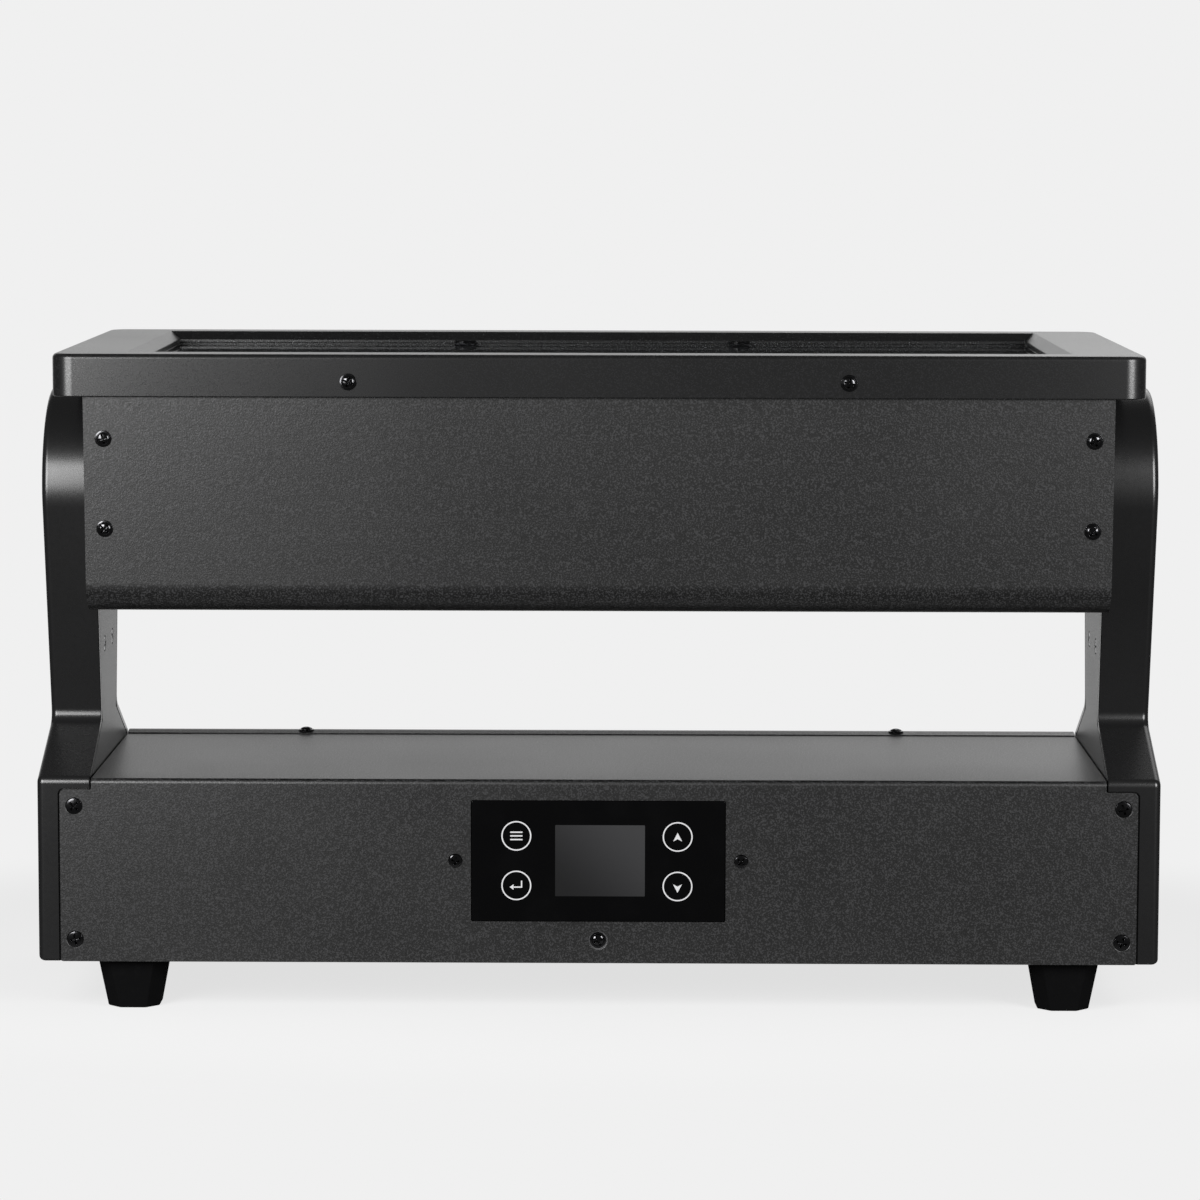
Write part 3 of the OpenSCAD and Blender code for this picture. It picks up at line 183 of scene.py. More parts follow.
class Tree:
    """A node tree that is filled from Python."""

    def __init__(self, owner: Union[bpy.types.Material, bpy.types.World]) -> None:
        """Empties the owner's tree.

        Args:
            owner: The material or world whose tree this is.
        """
        owner.use_nodes = True
        self.nodes = owner.node_tree.nodes
        self.links = owner.node_tree.links
        self.nodes.clear()

    def node(
        self,
        kind: str,
        settings: Optional[dict] = None,
        inputs: Optional[dict] = None,
        output: Union[int, str, None] = 0,
    ) -> Optional[Value]:
        """Adds any node.

        Args:
            kind: The node's type.
            settings: Its properties, set first; "stops" are a ramp's positions and colours.
            inputs: Values or links of its sockets, by name, identifier or number.
            output: The output that is wanted, by name, identifier or number, or None.

        Returns:
            That output.
        """
        made = self.nodes.new(kind)
        for key, value in (settings or {}).items():
            if key == "stops":
                self._set_stops(made.color_ramp, value)
            else:
                setattr(made, key, value)
        for key, value in (inputs or {}).items():
            socket = self._socket(made.inputs, key)
            if isinstance(value, Value):
                self.links.new(value.socket, socket)
            elif isinstance(value, tuple) and socket.type == "RGBA":
                socket.default_value = (*value, 1.0)
            else:
                socket.default_value = value
        return None if output is None else Value(self, self._socket(made.outputs, output))

    @staticmethod
    def _socket(sockets: bpy.types.NodeInputs, key: Union[int, str]) -> bpy.types.NodeSocket:
        """Finds a node's input or output by its identifier, name or number."""
        return next((s for s in sockets if s.identifier == key), None) or sockets[key]

    @staticmethod
    def _set_stops(ramp: bpy.types.ColorRamp, stops: Sequence[tuple[float, Colour]]) -> None:
        """Gives a ramp its stops.

        Args:
            ramp: The ramp.
            stops: Position and colour of each stop, two or more.
        """
        while len(ramp.elements) < len(stops):
            ramp.elements.new(1.0)
        for element, (position, colour) in zip(ramp.elements, stops):
            element.position = position
            element.color = (*colour, 1.0)

    def place(self) -> Value:
        """The object's own coordinates, in metres."""
        return self.node("ShaderNodeTexCoord", output="Object")

    def axis(self, name: str, vector: Optional[Value] = None) -> Value:
        """One coordinate, X, Y or Z, of a vector, or of the object in metres."""
        return self.node("ShaderNodeSeparateXYZ", {}, {0: vector or self.place()}, name)

    def stretched(self, scale: tuple[float, float, float]) -> Value:
        """The object's coordinates scaled along each axis."""
        settings = {"operation": "MULTIPLY"}
        return self.node("ShaderNodeVectorMath", settings, {0: self.place(), 1: scale})

    def noise(self, grain: float, detail: float = 2.0, vector: Optional[Value] = None) -> Value:
        """Noise around 0.5 whose lumps are about one grain wide, in millimetres."""
        inputs = {"Vector": vector or self.place(), "Scale": 1 / (grain * MM), "Detail": detail}
        return self.node("ShaderNodeTexNoise", {}, inputs)

    def cells(self, grain: float) -> Value:
        """Distance from the middles of cells about one grain wide, in millimetres."""
        inputs = {"Vector": self.place(), "Scale": 1 / (grain * MM)}
        return self.node("ShaderNodeTexVoronoi", {}, inputs, "Distance")

    def blend(self, factor: Term, low: Union[Value, Colour], high: Union[Value, Colour]) -> Value:
        """Mixes two colours; a factor of 0 gives low and 1 gives high."""
        inputs = {"Factor_Float": factor, "A_Color": low, "B_Color": high}
        return self.node("ShaderNodeMix", {"data_type": "RGBA"}, inputs, "Result_Color")

    def bump(self, height: Value, depth: float) -> Value:
        """A normal bent by a height of 0 to 1, where 1 stands for a depth in millimetres."""
        inputs = {"Height": height, "Distance": depth * MM, "Strength": 1.0}
        return self.node("ShaderNodeBump", {}, inputs)

    def surface(self, **sockets: object) -> Value:
        """Principled shader; its inputs have underscores for the spaces in their names."""
        inputs = {key.replace("_", " "): value for key, value in sockets.items()}
        return self.node("ShaderNodeBsdfPrincipled", {}, inputs)

    def light_ray(self, kind: str) -> Value:
        """1 for one kind of ray, such as Is Camera Ray."""
        return self.node("ShaderNodeLightPath", output=kind)

    def pick(self, factor: Term, low: Value, high: Value) -> Value:
        """Mixes two shaders; a factor of 0 gives low and 1 gives high."""
        return self.node("ShaderNodeMixShader", {}, {0: factor, 1: low, 2: high})


def tinted(colour: Colour, factor: float) -> Colour:
    """A colour made lighter or darker by a factor."""
    return tuple(min(part * factor, 1.0) for part in colour)


# ---------------------------------------------------------------- finishes


@dataclass(frozen=True)
class Finish:
    """A finish with one look all over; the others build on it."""

    name: str
    colour: Colour
    roughness: float

    def shade(self, tree: Tree, factor: Term, low: float, high: float) -> Value:
        """The finish's colour between two tints of it, low at a factor of 0 and high at 1."""
        return tree.blend(factor, tinted(self.colour, low), tinted(self.colour, high))

    def dress(self, tree: Tree) -> Value:
        """Adds the finish's shader to an empty tree."""
        colour = self.shade(tree, tree.noise(6.0, 4.0), 0.9, 1.1)
        return tree.surface(Base_Color=colour, Roughness=self.roughness)

    def material(self) -> bpy.types.Material:
        """The finish's material, made the first time that it is asked for.

        Returns:
            The material.
        """
        title = f"{self.name} finish"
        made = bpy.data.materials.get(title)
        if made is None:
            made = bpy.data.materials.new(title)
            tree = Tree(made)
            tree.node("ShaderNodeOutputMaterial", {}, {"Surface": self.dress(tree)}, None)
        return made


@dataclass(frozen=True)
class PowderCoat(Finish):
    """Black powder coat with fine pits and paler specks."""

    grain: float = 1.0
    pit_depth: float = 0.1
    speck: float = 0.95
    gloss: float = 1.0
    sparkle: float = 3.4
    speck_from: float = 0.48
    speck_to: float = 0.62

    def dress(self, tree: Tree) -> Value:
        """Adds the coat's shader.

        Args:
            tree: The material's tree.

        Returns:
            The shader.
        """
        fine = tree.noise(self.grain * 0.6, 3.0)
        coarse = tree.noise(self.grain * 2.2, 2.0)
        wide = tree.noise(70.0, 2.0)
        specks = (fine * 0.9 + coarse * 0.1).smooth(self.speck_from, self.speck_to)
        bright = self.sparkle * self.speck
        low = self.shade(tree, wide, 1 - self.speck, 1.1 - self.speck)
        high = self.shade(tree, wide, 1 + bright, 1.1 + bright)
        rough = self.roughness - 0.08 * specks + 0.06 * wide
        pits = tree.bump(fine * 0.6 + coarse * 0.4, self.pit_depth)
        colour = tree.blend(specks, low, high)
        return tree.surface(
            Base_Color=colour, Roughness=rough, Normal=pits, Specular_IOR_Level=self.gloss
        )


@dataclass(frozen=True)
class SatinPaint(Finish):
    """Smooth satin paint with a faint orange peel."""

    peel: float = 1.6
    peel_depth: float = 0.004
    gloss: float = 0.8

    def dress(self, tree: Tree) -> Value:
        """Adds the paint's shader.

        Args:
            tree: The material's tree.

        Returns:
            The shader.
        """
        wide = tree.noise(60.0, 3.0)
        fine = tree.noise(self.peel, 2.0)
        colour = self.shade(tree, wide, 0.85, 1.15)
        rough = self.roughness - 0.03 + 0.05 * fine + 0.04 * (wide - 0.5)
        peel = tree.bump(fine, self.peel_depth)
        return tree.surface(
            Base_Color=colour, Roughness=rough, Normal=peel, Specular_IOR_Level=self.gloss
        )


@dataclass(frozen=True)
class Moulded(Finish):
    """Moulded plastic or rubber with a fine spark-eroded skin."""

    grain: float = 0.5
    depth: float = 0.02
    gloss: float = 0.4

    def dress(self, tree: Tree) -> Value:
        """Adds the plastic's shader.

        Args:
            tree: The material's tree.

        Returns:
            The shader.
        """
        skin = tree.cells(self.grain)
        wide = tree.noise(25.0, 3.0)
        scuffs = tree.noise(3.0, 5.0).smooth(0.55, 0.75)
        dull = self.shade(tree, wide, 0.85, 1.12)
        colour = tree.blend(scuffs * 0.3, dull, tinted(self.colour, 1.6))
        rough = self.roughness + 0.08 * scuffs + 0.06 * (wide - 0.5)
        skin_bump = tree.bump(skin, self.depth)
        return tree.surface(
            Base_Color=colour, Roughness=rough, Normal=skin_bump, Specular_IOR_Level=self.gloss
        )


@dataclass(frozen=True)
class WorkedMetal(Finish):
    """Metal with the marks of its making drawn out along one axis."""

    metallic: float = 1.0
    along: tuple[float, float, float] = (1.0, 1.0, 1.0)
    grain: float = 0.4
    depth: float = 0.004
    tarnish: float = 0.25

    def dress(self, tree: Tree) -> Value:
        """Adds the metal's shader.

        Args:
            tree: The material's tree.

        Returns:
            The shader.
        """
        marks = tree.noise(self.grain, 3.0, tree.stretched(self.along))
        cloud = tree.noise(9.0, 4.0).smooth(0.35, 0.7)
        colour = self.shade(tree, cloud * 0.7 + marks * 0.3, 1 - self.tarnish, 1.0)
        rough = self.roughness + 0.1 * (marks - 0.5) + 0.08 * (1 - cloud)
        normal = tree.bump(marks, self.depth)
        return tree.surface(
            Base_Color=colour, Metallic=self.metallic, Roughness=rough, Normal=normal
        )


@dataclass(frozen=True)
class ClearGlass(Finish):
    """Clear glass that lets the light of lamps through."""

    def dress(self, tree: Tree) -> Value:
        """Adds the glass's shader.

        Args:
            tree: The material's tree.

        Returns:
            The shader.
        """
        film = tree.noise(45.0, 3.0).smooth(0.4, 0.8)
        rough = self.roughness + 0.02 * film
        glass = tree.surface(
            Base_Color=self.colour, Roughness=rough, Transmission_Weight=1.0, IOR=1.5
        )
        open_way = tree.node("ShaderNodeBsdfTransparent", {}, {"Color": tinted(self.colour, 0.95)})
        return tree.pick(tree.light_ray("Is Shadow Ray"), glass, open_way)


@dataclass(frozen=True)
class PolishedBlack(Finish):
    """Black glass printed on its back."""

    def dress(self, tree: Tree) -> Value:
        """Adds the black glass's shader.

        Args:
            tree: The material's tree.

        Returns:
            The shader.
        """
        film = tree.noise(14.0, 4.0).smooth(0.45, 0.75)
        colour = self.shade(tree, film, 1.0, 1.3)
        rough = self.roughness + 0.04 * film
        return tree.surface(Base_Color=colour, Roughness=rough, Specular_IOR_Level=0.25)


@dataclass(frozen=True)
class ScreenFace(Finish):
    """Unlit screen with its pixel rows, with a painted reflection that lightens it towards its upper
    right corner.
    """

    # How much the painted reflection lightens the screen's upper right corner.
    reflection_gain: float = 1.6
    width: float = 35.04
    low: float = 46.5
    high: float = 74.6
    row: float = 0.22
    between: float = 0.9

    def dress(self, tree: Tree) -> Value:
        """Adds the screen's shader.

        Args:
            tree: The material's tree.

        Returns:
            The shader.
        """
        across = tree.axis("X") * (1 / (self.width * MM)) + 0.5
        up = (tree.axis("Z") - self.low * MM) * (1 / ((self.high - self.low) * MM))
        # Painted reflection: a mask that grows towards the upper right corner, where the colour is
        # lightened.
        corner = (across * 0.55 + up * 0.45).smooth(0.05, 1.0)
        settings = {"wave_type": "BANDS", "bands_direction": "Z"}
        inputs = {"Vector": tree.place(), "Scale": 1 / (self.row * MM * TURN)}
        rows = tree.node("ShaderNodeTexWave", settings, inputs, "Fac")
        # The pixel rows and the gaps between them both carry the painted reflection towards the upper
        # right corner.
        lit = self.shade(tree, corner, 1.0, self.reflection_gain)
        dim = self.shade(tree, corner, self.between, self.reflection_gain * self.between)
        face = tree.blend(rows, dim, lit)
        return tree.surface(Base_Color=face, Roughness=self.roughness, Specular_IOR_Level=0.3)


@dataclass(frozen=True)
class CircuitBoard(Finish):
    """Printed board with copper runs under its lacquer."""

    run: float = 3.0

    def dress(self, tree: Tree) -> Value:
        """Adds the board's shader.

        Args:
            tree: The material's tree.

        Returns:
            The shader.
        """
        settings = {"distance": "CHEBYCHEV", "feature": "F1"}
        inputs = {"Vector": tree.place(), "Scale": 1 / (self.run * MM), "Randomness": 0.4}
        blocks = tree.node("ShaderNodeTexVoronoi", settings, inputs, "Distance")
        runs = blocks.smooth(0.36, 0.4) - blocks.smooth(0.44, 0.48)
        weave = tree.noise(0.8, 2.0)
        base = self.shade(tree, weave, 0.85, 1.1)
        colour = tree.blend(runs, base, tinted(self.colour, 1.35))
        return tree.surface(
            Base_Color=colour, Roughness=self.roughness, Normal=tree.bump(runs, 0.03)
        )


@dataclass(frozen=True)
class Phosphor(Finish):
    """Yellow phosphor under clear silicone."""

    def dress(self, tree: Tree) -> Value:
        """Adds the phosphor's shader.

        Args:
            tree: The material's tree.

        Returns:
            The shader.
        """
        colour = self.shade(tree, tree.noise(0.25, 3.0), 0.8, 1.1)
        return tree.surface(
            Base_Color=colour, Roughness=self.roughness, Coat_Weight=0.8, Coat_Roughness=0.08
        )


class Coat(Enum):
    """Every finish, by the name of the record's material slot where it has one."""

    POWDER = PowderCoat("powder", (0.0102, 0.0102, 0.0105), 0.38)
    SMOOTH_POWDER = PowderCoat(
        "smooth_powder", (0.0085, 0.0085, 0.0088), 0.29, 0.9, pit_depth=0.008, speck=0.35, gloss=0.7
    )
    ARM_BLACK = SatinPaint("arm_black", (0.0095, 0.0095, 0.0098), 0.28)
    FOOT_BLACK = Moulded("foot_black", (0.0045, 0.0045, 0.0048), 0.6, gloss=0.06)
    BLACK_SCREW = WorkedMetal("black_screw", (0.1, 0.1, 0.104), 0.1)
    # Paler bare metal for the screws' cross recesses: partly wear, partly a painted glint on the
    # cross's edges.
    SCREW_WEAR_AND_GLINT = WorkedMetal("screw_wear_and_glint", (0.34, 0.34, 0.345), 0.28)
    ZINC = WorkedMetal("zinc", (0.56, 0.56, 0.57), 0.32)
    ALLOY = WorkedMetal("alloy", (0.72, 0.73, 0.74), 0.3, along=(0.15, 1.0, 1.0))
    HEAT_SINK = WorkedMetal("heat_sink", (0.55, 0.56, 0.57), 0.42, along=(1.0, 0.04, 1.0))
    MIRROR = WorkedMetal("mirror_metal", (0.8, 0.81, 0.82), 0.12, grain=1.5, tarnish=0.08)
    WINDOW = ClearGlass("window", (0.93, 0.95, 0.96), 0.0)
    TOUCH_GLASS = PolishedBlack("touch_glass", (0.0022, 0.0022, 0.0024), 0.05)
    GASKET = Moulded("gasket", (0.014, 0.014, 0.015), 0.7)
    BELT = Moulded("belt", (0.02, 0.02, 0.021), 0.75)
    LED_BOARD = CircuitBoard("led_board", (0.5, 0.51, 0.49), 0.45, run=9.0)
    CIRCUIT = CircuitBoard("circuit", (0.02, 0.09, 0.04), 0.4)
    FAN_BLACK = Moulded("fan_black", (0.02, 0.02, 0.021), 0.45)
    MOTOR = WorkedMetal("motor", (0.09, 0.09, 0.095), 0.4, 0.6)
    BLUE_SOCKET = Moulded("blue_socket", (0.02, 0.075, 0.34), 0.42)
    GREY_SOCKET = Moulded("grey_socket", (0.33, 0.34, 0.36), 0.42)
    METAL_SOCKET = Moulded("metal_socket", (0.025, 0.025, 0.027), 0.38)
    # The screen's 3.2 is how much its painted reflection lightens its upper right corner.
    SCREEN = ScreenFace("screen", (0.016, 0.016, 0.0166), 0.3, 3.2)
    INK = Moulded("white_ink", (0.75, 0.75, 0.76), 0.5, grain=0.15, depth=0.002)
    PHOSPHOR = Phosphor("phosphor", (0.72, 0.56, 0.1), 0.4)

    @property
    def material(self) -> bpy.types.Material:
        """The finish's material."""
        return self.value.material()


# ---------------------------------------------------------------- meshes

SHARP_ANGLE = 32.0


@dataclass(frozen=True)
class Corner:
    """A corner of an outline: its place, its rounding and how many steps round it."""

    x: float
    y: float
    radius: float = 0.05
    steps: int = 3


def quarter(steps: int) -> list[Point2]:
    """How far the points of a quarter round of radius 1 lie inside its two sides."""
    turns = [math.radians(90 * k / steps) for k in range(steps + 1)]
    return [(1 - math.cos(t), 1 - math.sin(t)) for t in turns]


def spun(profile: Sequence[Point2], place: Matrix, steps: int) -> list[list[Vector]]:
    """Rings of a turned form.

    Args:
        profile: Radius and height of each ring.
        place: Where the form stands.
        steps: Steps round it.

    Returns:
        The rings.
    """
    angles = [2 * math.pi * k / steps for k in range(steps)]
    ways = [Vector((math.cos(a), math.sin(a), 0.0)) for a in angles]
    return [[place @ (way * r + Vector((0.0, 0.0, z))) for way in ways] for r, z in profile]


def arc_points(
    before: Vector, corner: Vector, after: Vector, radius: float, steps: int
) -> list[Point2]:
    """Points that round a corner.

    Args:
        before: The corner before it.
        corner: The corner.
        after: The corner after it.
        radius: Radius of the rounding.
        steps: Steps along the rounding.

    Returns:
        The points, one more than the steps.
    """
    into, out = (corner - before).normalized(), (after - corner).normalized()
    turn = math.atan2(into.x * out.y - into.y * out.x, into.dot(out))
    side = math.copysign(1.0, turn)
    centre = corner - into * radius * math.tan(abs(turn) / 2)
    centre += Vector((-into.y, into.x)) * side * radius
    start = Vector((into.y, -into.x)) * side * radius
    spins = [Matrix.Rotation(turn * k / steps, 2) for k in range(steps + 1)]
    return [tuple(centre + spin @ start) for spin in spins]


def outline(corners: Sequence[Corner], inset: float = 0.0) -> list[Point2]:
    """Closed counter-clockwise outline with rounded corners.

    Args:
        corners: The corners in order.
        inset: Distance that the outline is set in by.

    Returns:
        The outline's points.
    """
    spots = [Vector((c.x, c.y)) for c in corners]
    count = len(spots)
    moved, turns = [], []
    for i, spot in enumerate(spots):
        into = (spot - spots[i - 1]).normalized()
        out = (spots[(i + 1) % count] - spot).normalized()
        turns.append(into.x * out.y - into.y * out.x)
        bisector = (Vector((-into.y, into.x)) + Vector((-out.y, out.x))).normalized()
        moved.append(spot + bisector * inset / bisector.dot(Vector((-into.y, into.x))))
    points: list[Point2] = []
    for i, corner in enumerate(corners):
        radius = max(corner.radius - inset * math.copysign(1.0, turns[i]), 0.04)
        points += arc_points(moved[i - 1], moved[i], moved[(i + 1) % count], radius, corner.steps)
    return points


def rectangle(
    half_w: float, half_h: float, radius: float, steps: int = 3, at: Point2 = (0, 0)
) -> list[Corner]:
    """Corners of a rounded rectangle, counter-clockwise."""
    signs = [(1, -1), (1, 1), (-1, 1), (-1, -1)]
    return [Corner(at[0] + i * half_w, at[1] + j * half_h, radius, steps) for i, j in signs]


def slot_shape(width: float, length: float, at: Point2) -> list[Point2]:
    """Outline of a slot with round ends, with its length on the second coordinate."""
    return outline(rectangle(width / 2, length / 2, width / 2 - 0.05, 5, at))


def folded(corners: Sequence[Corner]) -> list[Point2]:
    """Open path with rounded bends.

    Args:
        corners: Its corners; the first and last are its ends.

    Returns:
        The path's points.
    """
    spots = [Vector((c.x, c.y)) for c in corners]
    points: list[Point2] = [tuple(spots[0])]
    for i in range(1, len(corners) - 1):
        bend = corners[i]
        points += arc_points(spots[i - 1], spots[i], spots[i + 1], bend.radius, bend.steps)
    return points + [tuple(spots[-1])]


def beside(path: Sequence[Point2], distance: float) -> list[Point2]:
    """A path moved to its left.

    Args:
        path: The path's points.
        distance: How far it moves, negative for its right.

    Returns:
        The moved points.
    """
    spots = [Vector(p) for p in path]
    moved = []
    for i, spot in enumerate(spots):
        into = (spot - spots[max(i - 1, 0)]).normalized() if i else None
        out = (spots[i + 1] - spot).normalized() if i + 1 < len(spots) else None
        first, second = into or out, out or into
        bisector = (Vector((-first.y, first.x)) + Vector((-second.y, second.x))).normalized()
        moved.append(tuple(spot + bisector * distance / bisector.dot(Vector((-first.y, first.x)))))
    return moved


def turned(at: Sequence[float], normal: Sequence[float], spin: float = 0.0) -> Matrix:
    """Places something that stands on z = 0 against a surface, spun in degrees."""
    aim = Vector(normal).to_track_quat("Z", "Y").to_matrix().to_4x4()
    return Matrix.Translation(Vector(at)) @ aim @ Matrix.Rotation(math.radians(spin), 4, "Z")


@dataclass(frozen=True)
class Edge:
    """How the sharp edges of a piece are broken: width, steps and the least angle."""

    width: float = 0.25
    steps: int = 2
    angle: float = 38.0

    def soften(self, piece: bpy.types.Object) -> None:
        """Adds the modifiers that break a piece's edges.

        Args:
            piece: The piece.
        """
        bevel = piece.modifiers.new("broken edges", "BEVEL")
        bevel.width = self.width * MM
        bevel.segments = self.steps
        bevel.limit_method = "ANGLE"
        bevel.angle_limit = math.radians(self.angle)
        bevel.miter_outer = "MITER_ARC"
        normals = piece.modifiers.new("flat faces", "WEIGHTED_NORMAL")
        normals.keep_sharp = True


class Solid:
    """A closed mesh that is being built, in millimetres."""

    def __init__(self) -> None:
        """Starts with nothing."""
        self.bm = bmesh.new()
        self.skins: list[Coat] = []

    def _skin(self, coat: Coat) -> int:
        """The material number of a finish.

        Args:
            coat: The finish.

        Returns:
            Its number, new if the mesh hasn't had it.
        """
        if coat not in self.skins:
            self.skins.append(coat)
        return self.skins.index(coat)

    def loft(
        self, rings: Sequence[Sequence[Vector]], coat: Coat, closed: bool = False, strips: bool = False
    ) -> "Solid":
        """Joins rings of equal counts into a closed skin.

        Args:
            rings: The rings in order.
            coat: Its finish.
            closed: True if the last ring joins the first.
            strips: True if the ends are closed by strips between mirrored points.

        Returns:
            The solid.
        """
        skin = self._skin(coat)
        rows = [[self.bm.verts.new(p) for p in ring] for ring in rings]
        faces = []
        for low, high in list(zip(rows, rows[1:])) + ([(rows[-1], rows[0])] if closed else []):
            for i in range(len(low)):
                j = (i + 1) % len(low)
                faces.append(self.bm.faces.new((low[i], low[j], high[j], high[i])))
        for row in () if closed else (rows[0], rows[-1]):
            if strips:
                last = len(row) - 1
                for i in range(len(row) // 2 - 1):
                    strip = (row[i], row[i + 1], row[last - i - 1], row[last - i])
                    faces.append(self.bm.faces.new(strip))
            else:
                faces.append(self.bm.faces.new(row))
        for face in faces:
            face.material_index = skin
        bmesh.ops.recalc_face_normals(self.bm, faces=faces)
        return self

    def prism(
        self, points: Sequence[Point2], low: float, high: float, axis: Axis, coat: Coat
    ) -> "Solid":
        """Adds a straight prism that runs along an axis from low to high."""
        return self.loft([[axis.point(*p, along) for p in points] for along in (low, high)], coat)

    def sheet(
        self, path: Sequence[Point2], thickness: float, low: float, high: float, coat: Coat
    ) -> "Solid":
        """Adds a folded sheet that runs along X.

        Args:
            path: Its outer side as points of Y and Z.
            thickness: Its thickness to the left of the path, negative for the right.
            low: Its start on X.
            high: Its end on X.
            coat: Its finish.

        Returns:
            The solid.
        """
        inner = beside(path, thickness)
        rings = []
        for outside, inside in zip(path, inner):
            ends = [(outside, low), (outside, high), (inside, high), (inside, low)]
            rings.append([Axis.X.point(*p, along) for p, along in ends])
        return self.loft(rings, coat)

    def lathe(
        self, profile: Sequence[Point2], coat: Coat, place: Optional[Matrix] = None, steps: int = 32
    ) -> "Solid":
        """Adds a turned form from its radii and heights, placed or at the origin."""
        return self.loft(spun(profile, place or Matrix(), steps), coat)

    def tube(self, profile: Sequence[Point2], coat: Coat, place: Matrix, steps: int = 48) -> "Solid":
        """Adds a turned form with a bore from the radii and heights round its section."""
        return self.loft(spun(profile, place, steps), coat, closed=True)

    def copies(self, other: "Solid", places: Iterable[Matrix]) -> "Solid":
        """Adds copies of another solid.

        Args:
            other: The solid to copy.
            places: Where each copy goes.

        Returns:
            The solid.
        """
        skins = [self._skin(coat) for coat in other.skins]
        for place in places:
            verts = {v: self.bm.verts.new(place @ v.co) for v in other.bm.verts}
            for face in other.bm.faces:
                made = self.bm.faces.new([verts[v] for v in face.verts])
                made.material_index = skins[face.material_index]
        return self

    def _temporary(self) -> bpy.types.Object:
        """An object that holds the mesh for a moment.

        Returns:
            The object, linked to the scene.
        """
        mesh = bpy.data.meshes.new("work")
        self.bm.to_mesh(mesh)
        made = bpy.data.objects.new("work", mesh)
        bpy.context.scene.collection.objects.link(made)
        return made

    def combine(self, other: "Solid", operation: str = "DIFFERENCE") -> "Solid":
        """Cuts another solid away, or joins it on.

        Args:
            other: The other solid.
            operation: DIFFERENCE or UNION.

        Returns:
            The solid.
        """
        work, tool = self._temporary(), other._temporary()
        modifier = work.modifiers.new("combine", "BOOLEAN")
        modifier.operation = operation
        modifier.solver = "EXACT"
        modifier.object = tool
        graph = bpy.context.evaluated_depsgraph_get()
        result = bpy.data.meshes.new_from_object(work.evaluated_get(graph))
        self.bm.free()
        self.bm = bmesh.new()
        self.bm.from_mesh(result)
        bpy.data.meshes.remove(result)
        for gone in (work, tool):
            mesh = gone.data
            bpy.data.objects.remove(gone)
            bpy.data.meshes.remove(mesh)
        return self

    def piece(
        self,
        name: str,
        body: Body,
        slot: str,
        edge: Optional[Edge] = None,
        replaces: Sequence[str] = (),
    ) -> bpy.types.Object:
        """Turns the mesh into a piece of the object.

        Args:
            name: The piece's name.
            body: The body that it rides on.
            slot: The record's material slot; not used.
            edge: How its edges are broken.
            replaces: The frame's nodes that it stands for.

        Returns:
            The piece.
        """
        mesh = bpy.data.meshes.new(name)
        self.bm.transform(Matrix.Scale(MM, 4))
        self.bm.to_mesh(mesh)
        self.bm.free()
        mesh.shade_smooth()
        mesh.set_sharp_from_angle(angle=math.radians(SHARP_ANGLE))
        for coat in self.skins:
            mesh.materials.append(coat.material)
        made = bpy.data.objects.new(name, mesh)
        bpy.context.scene.collection.objects.link(made)
        if edge:
            edge.soften(made)
        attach(made, body.value)
        if replaces:
            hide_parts(*replaces)
        log.info("%s: %d faces", name, len(mesh.polygons))
        return made


# ---------------------------------------------------------------- planes that pieces share

AXIS_Z = 202.223
BASE_BOTTOM, BASE_TOP = 20.0, 92.4
FRONT_Y, REAR_Y = -67.0, 67.0
INNER_X = 198.6
BEZEL_BOTTOM = AXIS_Z + 41.1
GLASS_TOP = AXIS_Z + 52.2
LIP_Z = 93.6
SHEET = 1.5
SOCKET_Z = 56.2
EAR_SCREW_R = 3.15
DISPLAY_SCREW_R = 2.5


# ---------------------------------------------------------------- screws


@dataclass
class Screw:
    """A cross-head screw that stands on z = 0 with its shank below; its cross recess is paler worn
    metal, which also stands as a painted glint on the cross's edges.
    """

    head_r: float = 3.2
    head_h: float = 2.0
    shank_r: float = 1.5
    length: float = 6.0
    sunk: bool = False
    collar: float = 0.45
    cross: float = 2.5
    cross_w: float = 0.5
    cross_d: float = 1.2
    dome_share: float = 0.76
    coat: Coat = Coat.BLACK_SCREW

    def _profile(self) -> list[Point2]:
        """Section of the turned screw, without its cross.

        Returns:
            Radius and height of each step, from the shank's end to the top of the head.
        """
        tail = [(self.shank_r * 0.6, -self.length), (self.shank_r, -self.length + 0.6)]
        if self.sunk:
            seat = [(self.shank_r, -self.head_h), (self.head_r - 0.05, -0.35), (self.head_r, -0.2)]
            top = [(self.head_r - 0.12, -0.03), (self.head_r * 0.8, 0.1), (self.head_r * 0.4, 0.22)]
            return tail + seat + top
        lean = [math.radians(a) for a in (0, 14, 28, 42, 56, 68, 80)]
        low, wide, dome_r = self.collar, self.head_r, self.head_r * self.dome_share
        rise = self.head_h - low
        dome = [(dome_r * (0.12 + 0.88 * math.cos(a)), low + rise * math.sin(a)) for a in lean]
        rim = [(wide - 0.12, 0.0), (wide, 0.12), (wide - 0.12, low - 0.1), (dome_r + 0.1, low)]
        return tail + [(self.shank_r, 0.0)] + rim + dome

    def solid(self) -> Solid:
        """Turns the screw and cuts its cross.

        Returns:
            The screw.
        """
        made = Solid().lathe(self._profile(), self.coat, steps=28)
        top = 0.25 if self.sunk else self.head_h
        arms = []
        reach, half = self.cross, self.cross_w
        for arm in range(4):
            spin = Matrix.Rotation(math.radians(90 * arm), 2)
            arms += [tuple(spin @ Vector(p)) for p in ((reach, -half), (reach, half), (half, half))]
        rings = []
        for height, share in ((top + 1.0, 1.15), (top - self.cross_d, 0.5)):
            rings.append([Vector((x * share, y * share, height)) for x, y in arms])
        # The cross recess takes the paler metal, partly wear and partly a painted glint on the cross's
        # edges.
        return made.combine(Solid().loft(rings, Coat.SCREW_WEAR_AND_GLINT))


